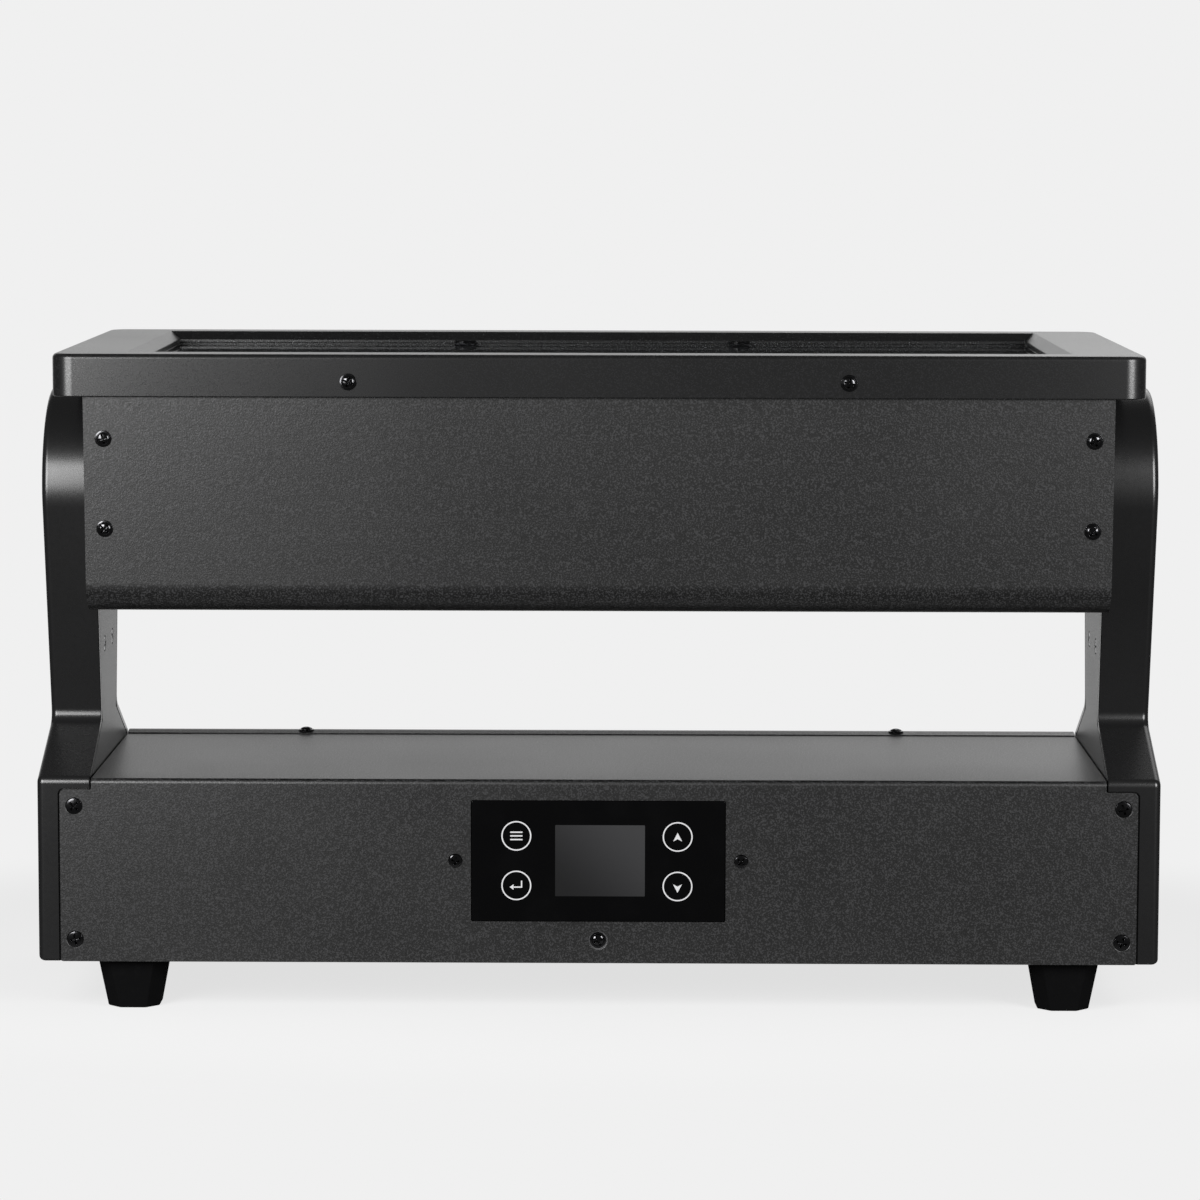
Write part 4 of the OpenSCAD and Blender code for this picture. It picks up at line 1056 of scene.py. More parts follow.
@dataclass
class HeadScrews:
    """Domed screws in the head's panels and in its frame."""

    panel_x: float = 188.5
    panel_y: float = 95.88
    panel_lean: float = 3.443
    drops: tuple[float, float] = (16.0, 50.6)
    frame_x: float = 95.0
    frame_y: float = 97.5
    frame_up: float = 6.0

    def places(self) -> list[Matrix]:
        """Where the screws stand.

        Returns:
            The place of each screw, with its spin.
        """
        lean = math.radians(self.panel_lean)
        found = []
        for side in Side:
            for face in Face:
                for drop in self.drops:
                    y = face.value * (self.panel_y - drop * math.tan(lean))
                    at = (side.value * self.panel_x, y, BEZEL_BOTTOM - drop)
                    normal = (0.0, face.value * math.cos(lean), -math.sin(lean))
                    found.append(turned(at, normal, 17 + 31 * len(found)))
                z = BEZEL_BOTTOM + self.frame_up
                at = (side.value * self.frame_x, face.value * self.frame_y, z)
                found.append(turned(at, (0, face.value, 0), 8 + 31 * len(found)))
        return found

    def build(self) -> None:
        """Builds the screws."""
        screw = Screw(head_r=3.25, head_h=1.4).solid()
        made = Solid().copies(screw, self.places())
        made.piece("head_screw_set", Body.HEAD, "black_screw", Edge(0.2, 2), ["head_screws"])


@dataclass
class BaseScrews:
    """Screws of the base's two sheets, the display and the rear lip."""

    ear_x: float = 204.8
    ear_z: tuple[float, float] = (28.7, 81.4)
    ear_y: float = 67.0
    display_x: float = 55.8
    display_z: float = 60.4
    low_z: float = 28.9
    lip_x: float = 123.5
    lip_y: float = 63.0
    flush: float = 0.15

    def seats(self, face: Face) -> list[Matrix]:
        """Places of the sheet's face at the ear screws of one face."""
        flush = Matrix.Translation((0, 0, self.flush))
        return [place @ flush for place in self.ears() if place.translation.y * face.value > 0]

    def ears(self) -> list[Matrix]:
        """Places of the screws in the ears.

        Returns:
            The place of each screw, with its spin.
        """
        found = []
        for side in Side:
            for face in Face:
                for z in self.ear_z:
                    at = (side.value * self.ear_x, face.value * (self.ear_y - self.flush), z)
                    found.append(turned(at, (0, face.value, 0), 12 + 37 * len(found)))
        return found

    def display(self) -> list[Matrix]:
        """Places of the screws beside the display.

        Returns:
            The place of each screw, with its spin.
        """
        y = FRONT_Y + self.flush
        return [
            turned((side.value * self.display_x, y, self.display_z), (0, -1, 0), 20 + 30 * side.value)
            for side in Side
        ]

    def build(self) -> None:
        """Builds the screws."""
        domed = Screw(head_r=3.2, head_h=1.3).solid()
        low = turned((0.0, FRONT_Y + SHEET + 0.05, self.low_z), (0, -1, 0), 25)
        lips = [turned((s.value * self.lip_x, self.lip_y, LIP_Z), (0, 0, 1), 40) for s in Side]
        sunk = Screw(head_r=EAR_SCREW_R, head_h=1.5, sunk=True)
        small = Screw(head_r=DISPLAY_SCREW_R, head_h=1.3, cross=1.9, cross_w=0.42, sunk=True)
        made = Solid().copies(sunk.solid(), self.ears())
        made.copies(small.solid(), self.display())
        made.copies(domed, [low, *lips])
        made.piece("base_screw_set", Body.STAND, "black_screw", Edge(0.2, 2), ["base_screws"])


@dataclass
class ArmScrews:
    """Countersunk screws in the inner plates of the arms."""

    y: float = 12.5
    z: float = 139.0
    flush: float = 0.12

    def build(self) -> None:
        """Builds the screws."""
        places = []
        for side in Side:
            for face in Face:
                at = (side.value * (INNER_X + self.flush), face.value * self.y, self.z)
                places.append(turned(at, (-side.value, 0, 0), 25 + 33 * len(places)))
        made = Solid().copies(Screw(head_r=3.0, head_h=1.5, sunk=True).solid(), places)
        made.piece("arm_screw_set", Body.STAND, "black_screw", Edge(0.2, 2), ["arm_screws"])


def sunk_seat(head_r: float) -> Solid:
    """What the seat of a countersunk screw cuts out of a sheet whose face is at z = 0.

    Args:
        head_r: Radius of the screw's head.

    Returns:
        The tool.
    """
    bore_r, mouth = 1.9, head_r + 0.35
    profile = [(bore_r, -SHEET - 1.0), (bore_r, -SHEET + 0.1), (mouth, -0.3), (mouth + 0.05, 1.0)]
    return Solid().lathe(profile, Coat.POWDER, steps=28)


# ---------------------------------------------------------------- head


@dataclass
class Bezel:
    """Moulded frame round the window, with a skirt over the head's panels."""

    half_w: float = 208.2
    half_d: float = 97.5
    corner_r: float = 8.5
    top: float = AXIS_Z + 57.5
    skirt_w: float = 196.6
    skirt_d: float = 96.0
    edge_r: float = 1.9
    ease: float = 0.35
    window_w: float = 180.8
    window_d: float = 81.5
    bevel_in: float = 4.0
    bevel_h: float = 3.2
    ledge_in: float = 5.0
    groove: float = 0.5
    ledge_top: float = AXIS_Z + 48.2
    ledge_bottom: float = AXIS_Z + 46.2
    well_wall: float = 2.0
    top_t: float = 3.6
    steps: int = 9

    def _section(self) -> list[tuple[float, float, float, float]]:
        """Section of the frame, all the way round.

        Returns:
            Half width, half depth, corner radius and height of each step.
        """
        w, d, r, e = self.half_w, self.half_d, self.corner_r, self.edge_r
        rows = [
            (self.skirt_w, self.skirt_d, 0.5, BEZEL_BOTTOM),
            (w - 0.3, d - 0.3, r - 0.3, BEZEL_BOTTOM),
            (w, d, r, BEZEL_BOTTOM + 0.3),
        ]
        for side, up in quarter(5):
            rows.append((w - e * side, d - e * side, r - e * side, self.top - e * up))
        ww, wd, ease = self.window_w, self.window_d, self.ease
        rows += [
            (ww + ease, wd + ease, 0.4, self.top),
            (ww, wd, 0.4, self.top - 0.07),
            (ww - ease, wd - ease, 0.4, self.top - ease * 0.8),
        ]
        nw, nd = ww - self.bevel_in, wd - self.bevel_in
        low = self.top - self.bevel_h
        rows += [
            (nw + ease, nd + ease, 0.3, low + ease * 0.8),
            (nw + 0.08, nd + 0.08, 0.3, low - 0.05),
            (nw, nd, 0.3, low - 0.4),
            (nw, nd, 0.3, GLASS_TOP + 0.75),
            (nw + self.groove, nd + self.groove, 0.3, GLASS_TOP + 0.75),
            (nw + self.groove, nd + self.groove, 0.3, GLASS_TOP - 0.3),
            (nw, nd, 0.3, GLASS_TOP - 0.3),
            (nw, nd, 0.3, self.ledge_top),
            (nw - self.ledge_in, nd - self.ledge_in, 0.3, self.ledge_top),
            (nw - self.ledge_in, nd - self.ledge_in, 0.3, self.ledge_bottom),
            (nw + self.well_wall, nd + self.well_wall, 0.5, self.ledge_bottom),
            (nw + self.well_wall, nd + self.well_wall, 0.5, self.top - self.top_t),
            (self.skirt_w, self.skirt_d, 0.5, self.top - self.top_t),
        ]
        return rows

    def build(self) -> None:
        """Builds the frame."""
        rings = []
        for w, d, r, z in self._section():
            rings.append([Vector((*p, z)) for p in outline(rectangle(w, d, r, self.steps))])
        made = Solid().loft(rings, Coat.SMOOTH_POWDER, closed=True)
        made.piece("bezel", Body.HEAD, "powder", Edge(0.15), ["head_bezel"])


@dataclass
class GlassClips:
    """Small angles that hold the glass down in its well, each with a screw."""

    x: float = 57.27
    y: float = 77.4
    width: float = 8.5
    foot: float = 4.0
    rise: float = 1.9
    lift: float = 0.02
    bend_r: float = 1.3
    thickness: float = 1.0
    knob_r: float = 1.1
    knob_at: Point2 = (-1.6, -2.6)

    def build(self) -> None:
        """Builds the clips."""
        bend = Corner(0.0, self.lift, self.bend_r, 6)
        path = folded([Corner(0.0, self.rise), bend, Corner(-self.foot, self.lift)])
        clip = Solid().sheet(path, -self.thickness, -self.width / 2, self.width / 2, Coat.BLACK_SCREW)
        steps = ((0.0, -0.1), (0.0, 0.25), (0.3, 0.55), (0.8, 0.7))
        knob = [(self.knob_r - inward, self.thickness + up) for inward, up in steps]
        clip.lathe(knob, Coat.BLACK_SCREW, Matrix.Translation((*self.knob_at, 0.0)), 16)
        places = [
            Matrix.Translation((s.value * self.x, f.value * self.y, GLASS_TOP))
            @ Matrix.Rotation(0.0 if f is Face.REAR else math.pi, 4, "Z")
            for s in Side for f in Face
        ]
        made = Solid().copies(clip, places)
        made.piece("clip_set", Body.HEAD, "black_screw", Edge(0.1, 1), ["glass_clips"])


@dataclass
class HeadCasing:
    """Folded sheet round the front, bottom and rear of the head, with slots under the fans."""

    half_x: float = 196.1
    panel_y: float = 95.88
    top: float = AXIS_Z + 51.1
    bend_y: float = 79.6
    bend_z: float = AXIS_Z - 30.0
    bend_r: float = 12.0
    lean: float = 3.443
    fan_x: float = 92.0
    slot_count: int = 8
    slot_pitch: float = 8.0
    slot_w: float = 4.0
    slot_l: float = 68.0

    def _path(self) -> list[Point2]:
        """Outer side of the folded sheet.

        Returns:
            Points of Y and Z, from the front's top to the rear's.
        """
        bottom = self.bend_z - self.bend_r
        lean = math.radians(self.lean)
        foot_y = self.bend_y + self.bend_r / math.cos(lean) - self.bend_r * math.tan(lean)
        corners = [
            Corner(-self.panel_y, self.top),
            Corner(-self.panel_y, BEZEL_BOTTOM, 0.5, 2),
            Corner(-foot_y, bottom, self.bend_r, 10),
            Corner(foot_y, bottom, self.bend_r, 10),
            Corner(self.panel_y, BEZEL_BOTTOM, 0.5, 2),
            Corner(self.panel_y, self.top),
        ]
        return folded(corners)

    def _slots(self) -> Solid:
        """What the slots cut away.

        Returns:
            The tool.
        """
        tool = Solid()
        low = self.bend_z - self.bend_r
        for side in Side:
            for i in range(self.slot_count):
                x = side.value * self.fan_x + (i - (self.slot_count - 1) / 2) * self.slot_pitch
                shape = slot_shape(self.slot_w, self.slot_l, (x, 0))
                tool.prism(shape, low - 1, low + SHEET + 1, Axis.Z, Coat.POWDER)
        return tool

    def build(self) -> None:
        """Builds the casing."""
        made = Solid().sheet(self._path(), SHEET, -self.half_x, self.half_x, Coat.POWDER)
        made.combine(self._slots())
        made.piece("head_casing", Body.HEAD, "powder", Edge(0.3), ["head_wrap"])


@dataclass
class Emitters:
    """Domes of silicone over the light-emitting chips of the three boards."""

    pitch: float = 16.0
    across: int = 6
    deep: int = 8
    board_pitch: float = 114.533
    side: float = 3.3
    dome_r: float = 1.3
    dome_h: float = 0.75
    top: float = AXIS_Z + 31.9

    def build(self) -> None:
        """Builds the domes with their phosphor squares."""
        place = Matrix.Translation((0, 0, self.top))
        one = Solid()
        half = self.side / 2
        rings = []
        for inset, z in ((0.0, -0.2), (0.0, 0.05), (0.15, 0.12), (0.3, 0.12)):
            shape = outline(rectangle(half - inset, half - inset, 0.3, 2))
            rings.append([Vector((*p, z)) for p in shape])
        one.loft(rings, Coat.LED_BOARD)
        rises = [math.radians(a) for a in (0, 20, 40, 60, 80)]
        dome = [(self.dome_r * math.cos(a), 0.1 + self.dome_h * math.sin(a)) for a in rises]
        one.lathe([(self.dome_r, 0.0), *dome], Coat.PHOSPHOR, steps=16)
        places = []
        for board in (-1, 0, 1):
            for a in range(self.across):
                for b in range(self.deep):
                    x = board * self.board_pitch + (a - (self.across - 1) / 2) * self.pitch
                    y = (b - (self.deep - 1) / 2) * self.pitch
                    places.append(place @ Matrix.Translation((x, y, 0)))
        Solid().copies(one, places).piece("emitter_domes", Body.HEAD, "led_board")


# ---------------------------------------------------------------- arms


@dataclass
class ArmCasing:
    """Hollow moulded arm with the cheek that closes the end of the base."""

    side: Side
    base_half_d: float = 67.0
    waist_half_d: float = 26.0
    waist_z: float = 110.8
    top_r: float = 40.0
    lean: float = 9.0
    base_x: float = 219.3
    waist_x: float = 218.7
    top_x: float = 219.8
    edge_r: float = 2.6
    wall: float = 2.5
    ear_x: float = 211.1
    ear_top: float = 88.6
    ear_depth: float = 1.6
    ear_r: float = 2.4
    cheek_r: tuple[float, float] = (1.2, 3.4)
    waist_r: float = 5.0
    top_steps: int = 49

    def _side_outline(self, inset: float) -> list[Point2]:
        """Side outline of the arm and its cheek, mirrored about y = 0.

        Args:
            inset: Distance that it is set in by.

        Returns:
            The outline, from the bottom's rear end round to its front end.
        """
        lean = math.radians(self.lean)
        touch = Corner(self.top_r * math.cos(lean), AXIS_Z - self.top_r * math.sin(lean), 0.05, 1)
        rear = [
            Corner(self.base_half_d, BASE_BOTTOM, self.cheek_r[0], 3),
            Corner(self.base_half_d, BASE_TOP, self.cheek_r[1], 5),
            Corner(self.waist_half_d, self.waist_z, self.waist_r, 5),
            touch,
        ]
        front = [Corner(-c.x, c.y, c.radius, c.steps) for c in reversed(rear)]
        points = outline(rear + front, inset)
        straight = sum(c.steps + 1 for c in rear[:-1])
        radius, steps = self.top_r - inset, self.top_steps
        sweep = [-lean + (math.pi + 2 * lean) * k / steps for k in range(steps + 1)]
        top = [(radius * math.cos(a), AXIS_Z + radius * math.sin(a)) for a in sweep]
        return points[:straight] + top + points[-straight:]

    def _outer_x(self, z: float) -> float:
        """Distance of the side face from the middle.

        Args:
            z: Height.

        Returns:
            The distance.
        """
        knots = [(BASE_TOP, self.base_x), (self.waist_z, self.waist_x), (AXIS_Z, self.top_x)]
        if z <= knots[0][0]:
            return knots[0][1]
        for (z0, x0), (z1, x1) in zip(knots, knots[1:]):
            if z <= z1:
                return x0 + (x1 - x0) * (z - z0) / (z1 - z0)
        return knots[-1][1]

    def _ring(self, inset: float, depth: Optional[float] = None, x: float = 0.0) -> list[Vector]:
        """One ring of the casing.

        Args:
            inset: How far its outline is set in.
            depth: How far it lies inside the side face, or None.
            x: Its distance from the middle, where depth is None.

        Returns:
            The ring.
        """
        points = self._side_outline(inset)
        across = [x if depth is None else self._outer_x(z) - depth for _, z in points]
        return [Vector((self.side.value * a, *p)) for a, p in zip(across, points)]

    def build(self) -> None:
        """Builds the casing."""
        w = self.wall
        rings = [self._ring(w, w), self._ring(w, x=INNER_X + 0.3), self._ring(w - 0.25, x=INNER_X)]
        rings += [self._ring(0.3, x=INNER_X), self._ring(0.0, x=INNER_X + 0.3)]
        rings += [self._ring(self.edge_r * side, self.edge_r * up) for side, up in quarter(6)]
        made = Solid().loft(rings, Coat.ARM_BLACK, strips=True)
        for face in Face:
            corners = [
                Corner(INNER_X - 2, BASE_BOTTOM - 2, 0.1),
                Corner(self.ear_x, BASE_BOTTOM - 2, 0.1),
                Corner(self.ear_x, self.ear_top, self.ear_r, 5),
                Corner(INNER_X - 2, self.ear_top, 0.1),
            ]
            shape = outline(corners)
            if self.side is Side.LEFT:
                shape = [(-x, z) for x, z in reversed(shape)]
            floor = self.base_half_d - self.ear_depth
            near, far = sorted((face.value * floor, face.value * (self.base_half_d + 3)))
            made.combine(Solid().prism(shape, near, far, Axis.Y, Coat.ARM_BLACK))
        made.piece(
            f"arm_casing_{self.side.word}", Body.STAND, "arm_black", Edge(0.22),
            [f"arm_shell_{self.side.word}"],
        )


# ---------------------------------------------------------------- base


@dataclass
class FrontCover:
    """Folded sheet that makes the front and the top of the base, with an ear at each end."""

    half_x: float = 198.0
    ear_x: float = 210.4
    ear_top: float = 88.1
    ear_r: float = 2.2
    foot_r: float = 0.8
    fold_r: float = 2.0
    rear_y: float = 65.4
    display_w: float = 49.8
    display_z: tuple[float, float] = (36.4, 84.4)
    low_hole_r: float = 3.8

    def ears(self, near: float, far: float) -> Solid:
        """The two ears.

        Args:
            near: Their lower face on Y.
            far: Their upper face on Y.

        Returns:
            The ears.
        """
        made = Solid()
        for side in Side:
            low, high = sorted((side.value * (self.half_x - 3), side.value * self.ear_x))
            left, right = (self.ear_r, 0.1) if side is Side.LEFT else (0.1, self.ear_r)
            shape = [
                Corner(low, BASE_BOTTOM, min(left, self.foot_r)),
                Corner(high, BASE_BOTTOM, min(right, self.foot_r)),
                Corner(high, self.ear_top, right, 6),
                Corner(low, self.ear_top, left, 6),
            ]
            made.prism(outline(shape), near, far, Axis.Y, Coat.POWDER)
        return made

    def build(self) -> None:
        """Builds the cover."""
        bend = Corner(FRONT_Y, BASE_TOP, self.fold_r, 8)
        path = folded([Corner(FRONT_Y, BASE_BOTTOM), bend, Corner(self.rear_y, BASE_TOP)])
        made = Solid().sheet(path, -SHEET, -self.half_x, self.half_x, Coat.POWDER)
        made.combine(self.ears(FRONT_Y, FRONT_Y + SHEET), "UNION")
        low, high = self.display_z
        shape = outline(rectangle(self.display_w, (high - low) / 2, 0.8, 4, (0, (low + high) / 2)))
        made.combine(Solid().prism(shape, FRONT_Y - 1, FRONT_Y + SHEET + 1, Axis.Y, Coat.POWDER))
        screws = BaseScrews()
        flush = Matrix.Translation((0, 0, screws.flush))
        seats = Solid().copies(sunk_seat(EAR_SCREW_R), screws.seats(Face.FRONT))
        seats.copies(sunk_seat(DISPLAY_SCREW_R), [place @ flush for place in screws.display()])
        hole = turned((0, FRONT_Y, screws.low_z), (0, -1, 0))
        seats.lathe([(self.low_hole_r, -SHEET - 1), (self.low_hole_r, 1)], Coat.POWDER, hole, 32)
        made.combine(seats)
        made.piece("front_cover", Body.STAND, "powder", Edge(0.22), ["base_cover"])


@dataclass
class RearCover:
    """Rear sheet of the base, with a lip over the front cover, sockets' holes and a fan grille."""

    lip_y: float = 59.0
    lip_taper: float = 4.0
    lip_drop: float = 0.75
    fold_r: float = 1.6
    thickness: float = 1.2
    power_x: tuple[float, float] = (112.0, 150.0)
    power_r: float = 11.2
    data_r: float = 10.9
    fuse_x: float = 76.0
    fuse_r: float = 6.6
    slot_count: int = 5
    slot_pitch: float = 7.0
    slot_w: float = 3.5
    slot_l: float = 30.0

    def _holes(self) -> Solid:
        """What the sockets, the fan and the screws cut away.

        Returns:
            The tool.
        """
        tool = Solid()
        bores = [(x, self.power_r) for x in self.power_x] + [(-x, self.data_r) for x in self.power_x]
        for x, radius in bores + [(self.fuse_x, self.fuse_r)]:
            place = turned((x, REAR_Y, SOCKET_Z), (0, 1, 0))
            tool.lathe([(radius, -4), (radius, 1)], Coat.POWDER, place)
        for i in range(self.slot_count):
            x = (i - (self.slot_count - 1) / 2) * self.slot_pitch
            shape = slot_shape(self.slot_w, self.slot_l, (x, SOCKET_Z))
            tool.prism(shape, REAR_Y - 4, REAR_Y + 1, Axis.Y, Coat.POWDER)
        return tool.copies(sunk_seat(EAR_SCREW_R), BaseScrews().seats(Face.REAR))

    def build(self) -> None:
        """Builds the cover."""
        front = FrontCover()
        path = folded([
            Corner(REAR_Y, BASE_BOTTOM),
            Corner(REAR_Y, LIP_Z, self.fold_r, 6),
            Corner(self.lip_y + self.lip_taper, LIP_Z, 3.0, 3),
            Corner(self.lip_y, LIP_Z - self.lip_drop),
        ])
        made = Solid().sheet(path, self.thickness, -front.half_x, front.half_x, Coat.POWDER)
        made.combine(front.ears(REAR_Y - self.thickness, REAR_Y), "UNION")
        made.combine(self._holes())
        made.piece("rear_cover", Body.STAND, "powder", Edge(0.2), ["base_rear_panel"])


@dataclass
class TouchPanel:
    """Black glass over the display, with its screen and its printed touch marks."""

    half_w: float = 49.6
    low: float = 36.6
    high: float = 84.2
    front_y: float = -66.7
    thickness: float = 1.2
    edge_r: float = 0.3
    screen_x: float = 0.7
    screen_w: float = 35.04
    screen_z: tuple[float, float] = (46.5, 74.6)
    print_t: float = 0.06
    ring_r: float = 5.85
    line: float = 0.5
    marks: tuple[Point2, ...] = ((-32.0, 70.3), (-32.0, 50.7), (31.0, 70.1), (31.0, 50.5))

    def _print(self, made: Solid, points: Sequence[Point2]) -> None:
        """Adds one printed shape, given as X and Z."""
        made.prism(points, self.front_y - self.print_t, self.front_y + 0.02, Axis.Y, Coat.INK)

    def _arrow(self, at: Point2, up: bool) -> list[Point2]:
        """Notched arrowhead.

        Args:
            at: Middle of its ring.
            up: True if it points up.

        Returns:
            Its outline.
        """
        x, z = at
        if up:
            shape = [(-1.75, -1.79), (0.0, -0.86), (1.75, -1.79), (0.0, 1.64)]
        else:
            shape = [(-1.75, 0.86), (0.0, -2.5), (1.75, 0.86), (0.0, -0.07)]
        return [(x + a, z + b) for a, b in shape]

    def _enter(self, made: Solid, at: Point2) -> None:
        """Adds a return arrow.

        Args:
            made: The print so far.
            at: Middle of its ring.
        """
        x, z = at
        bent = [(2.3, 1.9), (2.3, -0.9), (-1.2, -0.9), (-1.2, -0.4), (1.8, -0.4), (1.8, 1.9)]
        self._print(made, [(x + a, z + b) for a, b in bent])
        self._print(made, [(x + a, z + b) for a, b in [(-2.6, -0.65), (-1.1, 0.45), (-1.1, -1.75)]])

    def build(self) -> None:
        """Builds the glass, the screen and the print."""
        middle = (self.low + self.high) / 2
        corners = rectangle(self.half_w, (self.high - self.low) / 2, 0.7, 4, (0, middle))
        rings = []
        for back, side in quarter(3):
            shape = outline(corners, self.edge_r * side)
            rings.append([Axis.Y.point(*p, self.front_y + self.edge_r * back) for p in shape])
        rings.append([Axis.Y.point(*p, self.front_y + self.thickness) for p in outline(corners)])
        glass = Solid().loft(rings, Coat.TOUCH_GLASS)
        glass.piece("touch_panel", Body.STAND, "touch_glass", Edge(0.05, 1), ["display_glass"])
        low, high = self.screen_z
        at = (self.screen_x, (low + high) / 2)
        face = rectangle(self.screen_w / 2, (high - low) / 2, 0.3, 2, at)
        y = self.front_y
        screen = Solid().prism(outline(face), y - 0.03, y + 0.2, Axis.Y, Coat.SCREEN)
        screen.piece("screen_face", Body.STAND, "touch_glass")
        made = Solid()
        outer, inner, top = self.ring_r, self.ring_r - self.line, self.print_t
        ring = [(inner, -0.02), (outer, -0.02), (outer, top), (inner, top)]
        for x, z in self.marks:
            made.tube(ring, Coat.INK, turned((x, y, z), (0, -1, 0)), 64)
        menu, enter, up, down = self.marks
        for k in (-1, 0, 1):
            bar = rectangle(2.4, 0.26, 0.1, 2, (menu[0], menu[1] + 1.45 * k))
            self._print(made, outline(bar))
        self._enter(made, enter)
        self._print(made, self._arrow(up, True))
        self._print(made, self._arrow(down, False))
        made.piece("touch_print", Body.STAND, "touch_glass")


@dataclass
class Feet:
    """Four moulded rubber feet with cut corners."""

    x: float = 183.3
    y: float = 49.25
    top_w: float = 27.5
    bottom_w: float = 20.5
    edge_w: float = 1.6
    edge_h: float = 0.9
    cut: float = 4.8
    height: float = 20.0
    bore_r: float = 4.6
    bore_d: float = 8.0

    def _ring(self, width: float, z: float) -> list[Vector]:
        """Eight-sided ring.

        Args:
            width: Its width across the sides.
            z: Its height.

        Returns:
            The ring.
        """
        half, cut = width / 2, self.cut
        spots = [(half, -half + cut), (half, half - cut), (half - cut, half), (-half + cut, half)]
        spots += [(-x, -y) for x, y in spots]
        return [Vector((*p, z)) for p in outline([Corner(*s, 1.0, 3) for s in spots])]

    def build(self) -> None:
        """Builds the feet."""
        low = self.bottom_w
        rings = [self._ring(low - self.edge_w * side, self.edge_h * up) for up, side in quarter(4)]
        for inset, drop in ((0.6, 1.0), (0.0, 0.6), (0.0, 0.0)):
            rings.append(self._ring(self.top_w - inset, self.height - drop))
        foot = Solid().loft(rings, Coat.FOOT_BLACK)
        foot.combine(Solid().lathe([(self.bore_r, -1), (self.bore_r, self.bore_d)], Coat.FOOT_BLACK))
        spots = [(s.value * self.x, f.value * self.y, 0) for s in Side for f in Face]
        made = Solid().copies(foot, [Matrix.Translation(spot) for spot in spots])
        made.piece("foot_set", Body.STAND, "foot_black", Edge(0.3), ["feet"])


@dataclass
class SocketScrews:
    """Small screws that hold the sockets' flanges."""

    x: tuple[float, ...] = (150.0, 112.0, -112.0, -150.0)
    y: float = 69.0
    across: float = 10.0
    up: float = 12.5

    def build(self) -> None:
        """Builds the screws."""
        screw = Screw(head_r=2.3, head_h=1.3, length=4.0, cross=1.3, cross_w=0.32, cross_d=0.8)
        places = []
        for x in self.x:
            for s in (-1, 1):
                at = (x - s * self.across, self.y, SOCKET_Z + s * self.up)
                places.append(turned(at, (0, 1, 0), 15 + 35 * len(places)))
        made = Solid().copies(screw.solid(), places)
        made.piece("socket_screws", Body.STAND, "black_screw", Edge(0.06, 1))


# ---------------------------------------------------------------- fans


@dataclass
class FanRotor:
    """Fan wheel with curved and twisted blades."""

    node: str
    body: Body
    centre: tuple[float, float, float]
    normal: tuple[float, float, float]
    side: float = 80.0
    depth: float = 15.0
    blades: int = 7
    start: float = 2.5
    rim: float = 2.3
    bore_r: float = 1.55
    root_pitch: float = 48.0
    tip_pitch: float = 28.0
    sweep: float = 14.0

    def _blade(self, hub: float, tip: float, height: float) -> Solid:
        """One blade that runs out along X.

        Args:
            hub: Radius of the hub.
            tip: Radius of the blade's tip.
            height: Height of the wheel.

        Returns:
            The blade.
        """
        rings = []
        for k in range(7):
            share = k / 6
            radius = hub - 1.5 + (tip - hub + 1.5) * share
            pitch = math.radians(self.root_pitch + (self.tip_pitch - self.root_pitch) * share)
            chord = min((height - 1.6) / math.sin(pitch), radius * 0.95 + 3)
            sweep = math.radians(self.sweep) * share
            ring = []
            for u, v in ((-0.5, 0), (-0.25, 0.7), (0.1, 0.8), (0.5, 0), (0.1, 0.0), (-0.25, 0.1)):
                along, up = u * chord, v * (1.5 - 0.5 * share) + 0.6 * chord * 0.12 * (1 - 4 * u * u)
                y = along * math.cos(pitch) - up * math.sin(pitch)
                z = along * math.sin(pitch) + up * math.cos(pitch)
                angle = sweep + y / radius
                z = max(min(z, height / 2 - 0.1), -height / 2 + 0.1)
                ring.append(Vector((radius * math.cos(angle), radius * math.sin(angle), z)))
            rings.append(ring)
        return Solid().loft(rings, Coat.FAN_BLACK)

    def build(self) -> None:
        """Builds the wheel."""
        hub, tip = self.side * 0.22, self.side / 2 - self.rim
        height = self.depth - self.start - 0.5
        place = turned(self.centre, self.normal)
        low, high = self.start, self.start + height
        round_r = min(1.5, height * 0.2)
        profile = [(self.bore_r, low), (hub - 0.4, low), (hub, low + 0.4), (hub, high - round_r)]
        profile += [(hub - round_r * side, high - round_r * up) for side, up in quarter(4)[1:]]
        made = Solid().tube(profile + [(self.bore_r, high)], Coat.FAN_BLACK, place, 40)
        blade = self._blade(hub, tip, height)
        lift = Matrix.Translation((0, 0, low + height / 2))
        spins = [Matrix.Rotation(2 * math.pi * k / self.blades, 4, "Z") for k in range(self.blades)]
        made.copies(blade, [place @ lift @ spin for spin in spins])
        made.piece(f"{self.node}_wheel", self.body, "fan_black", None, [self.node])


# ---------------------------------------------------------------- nodes that stay


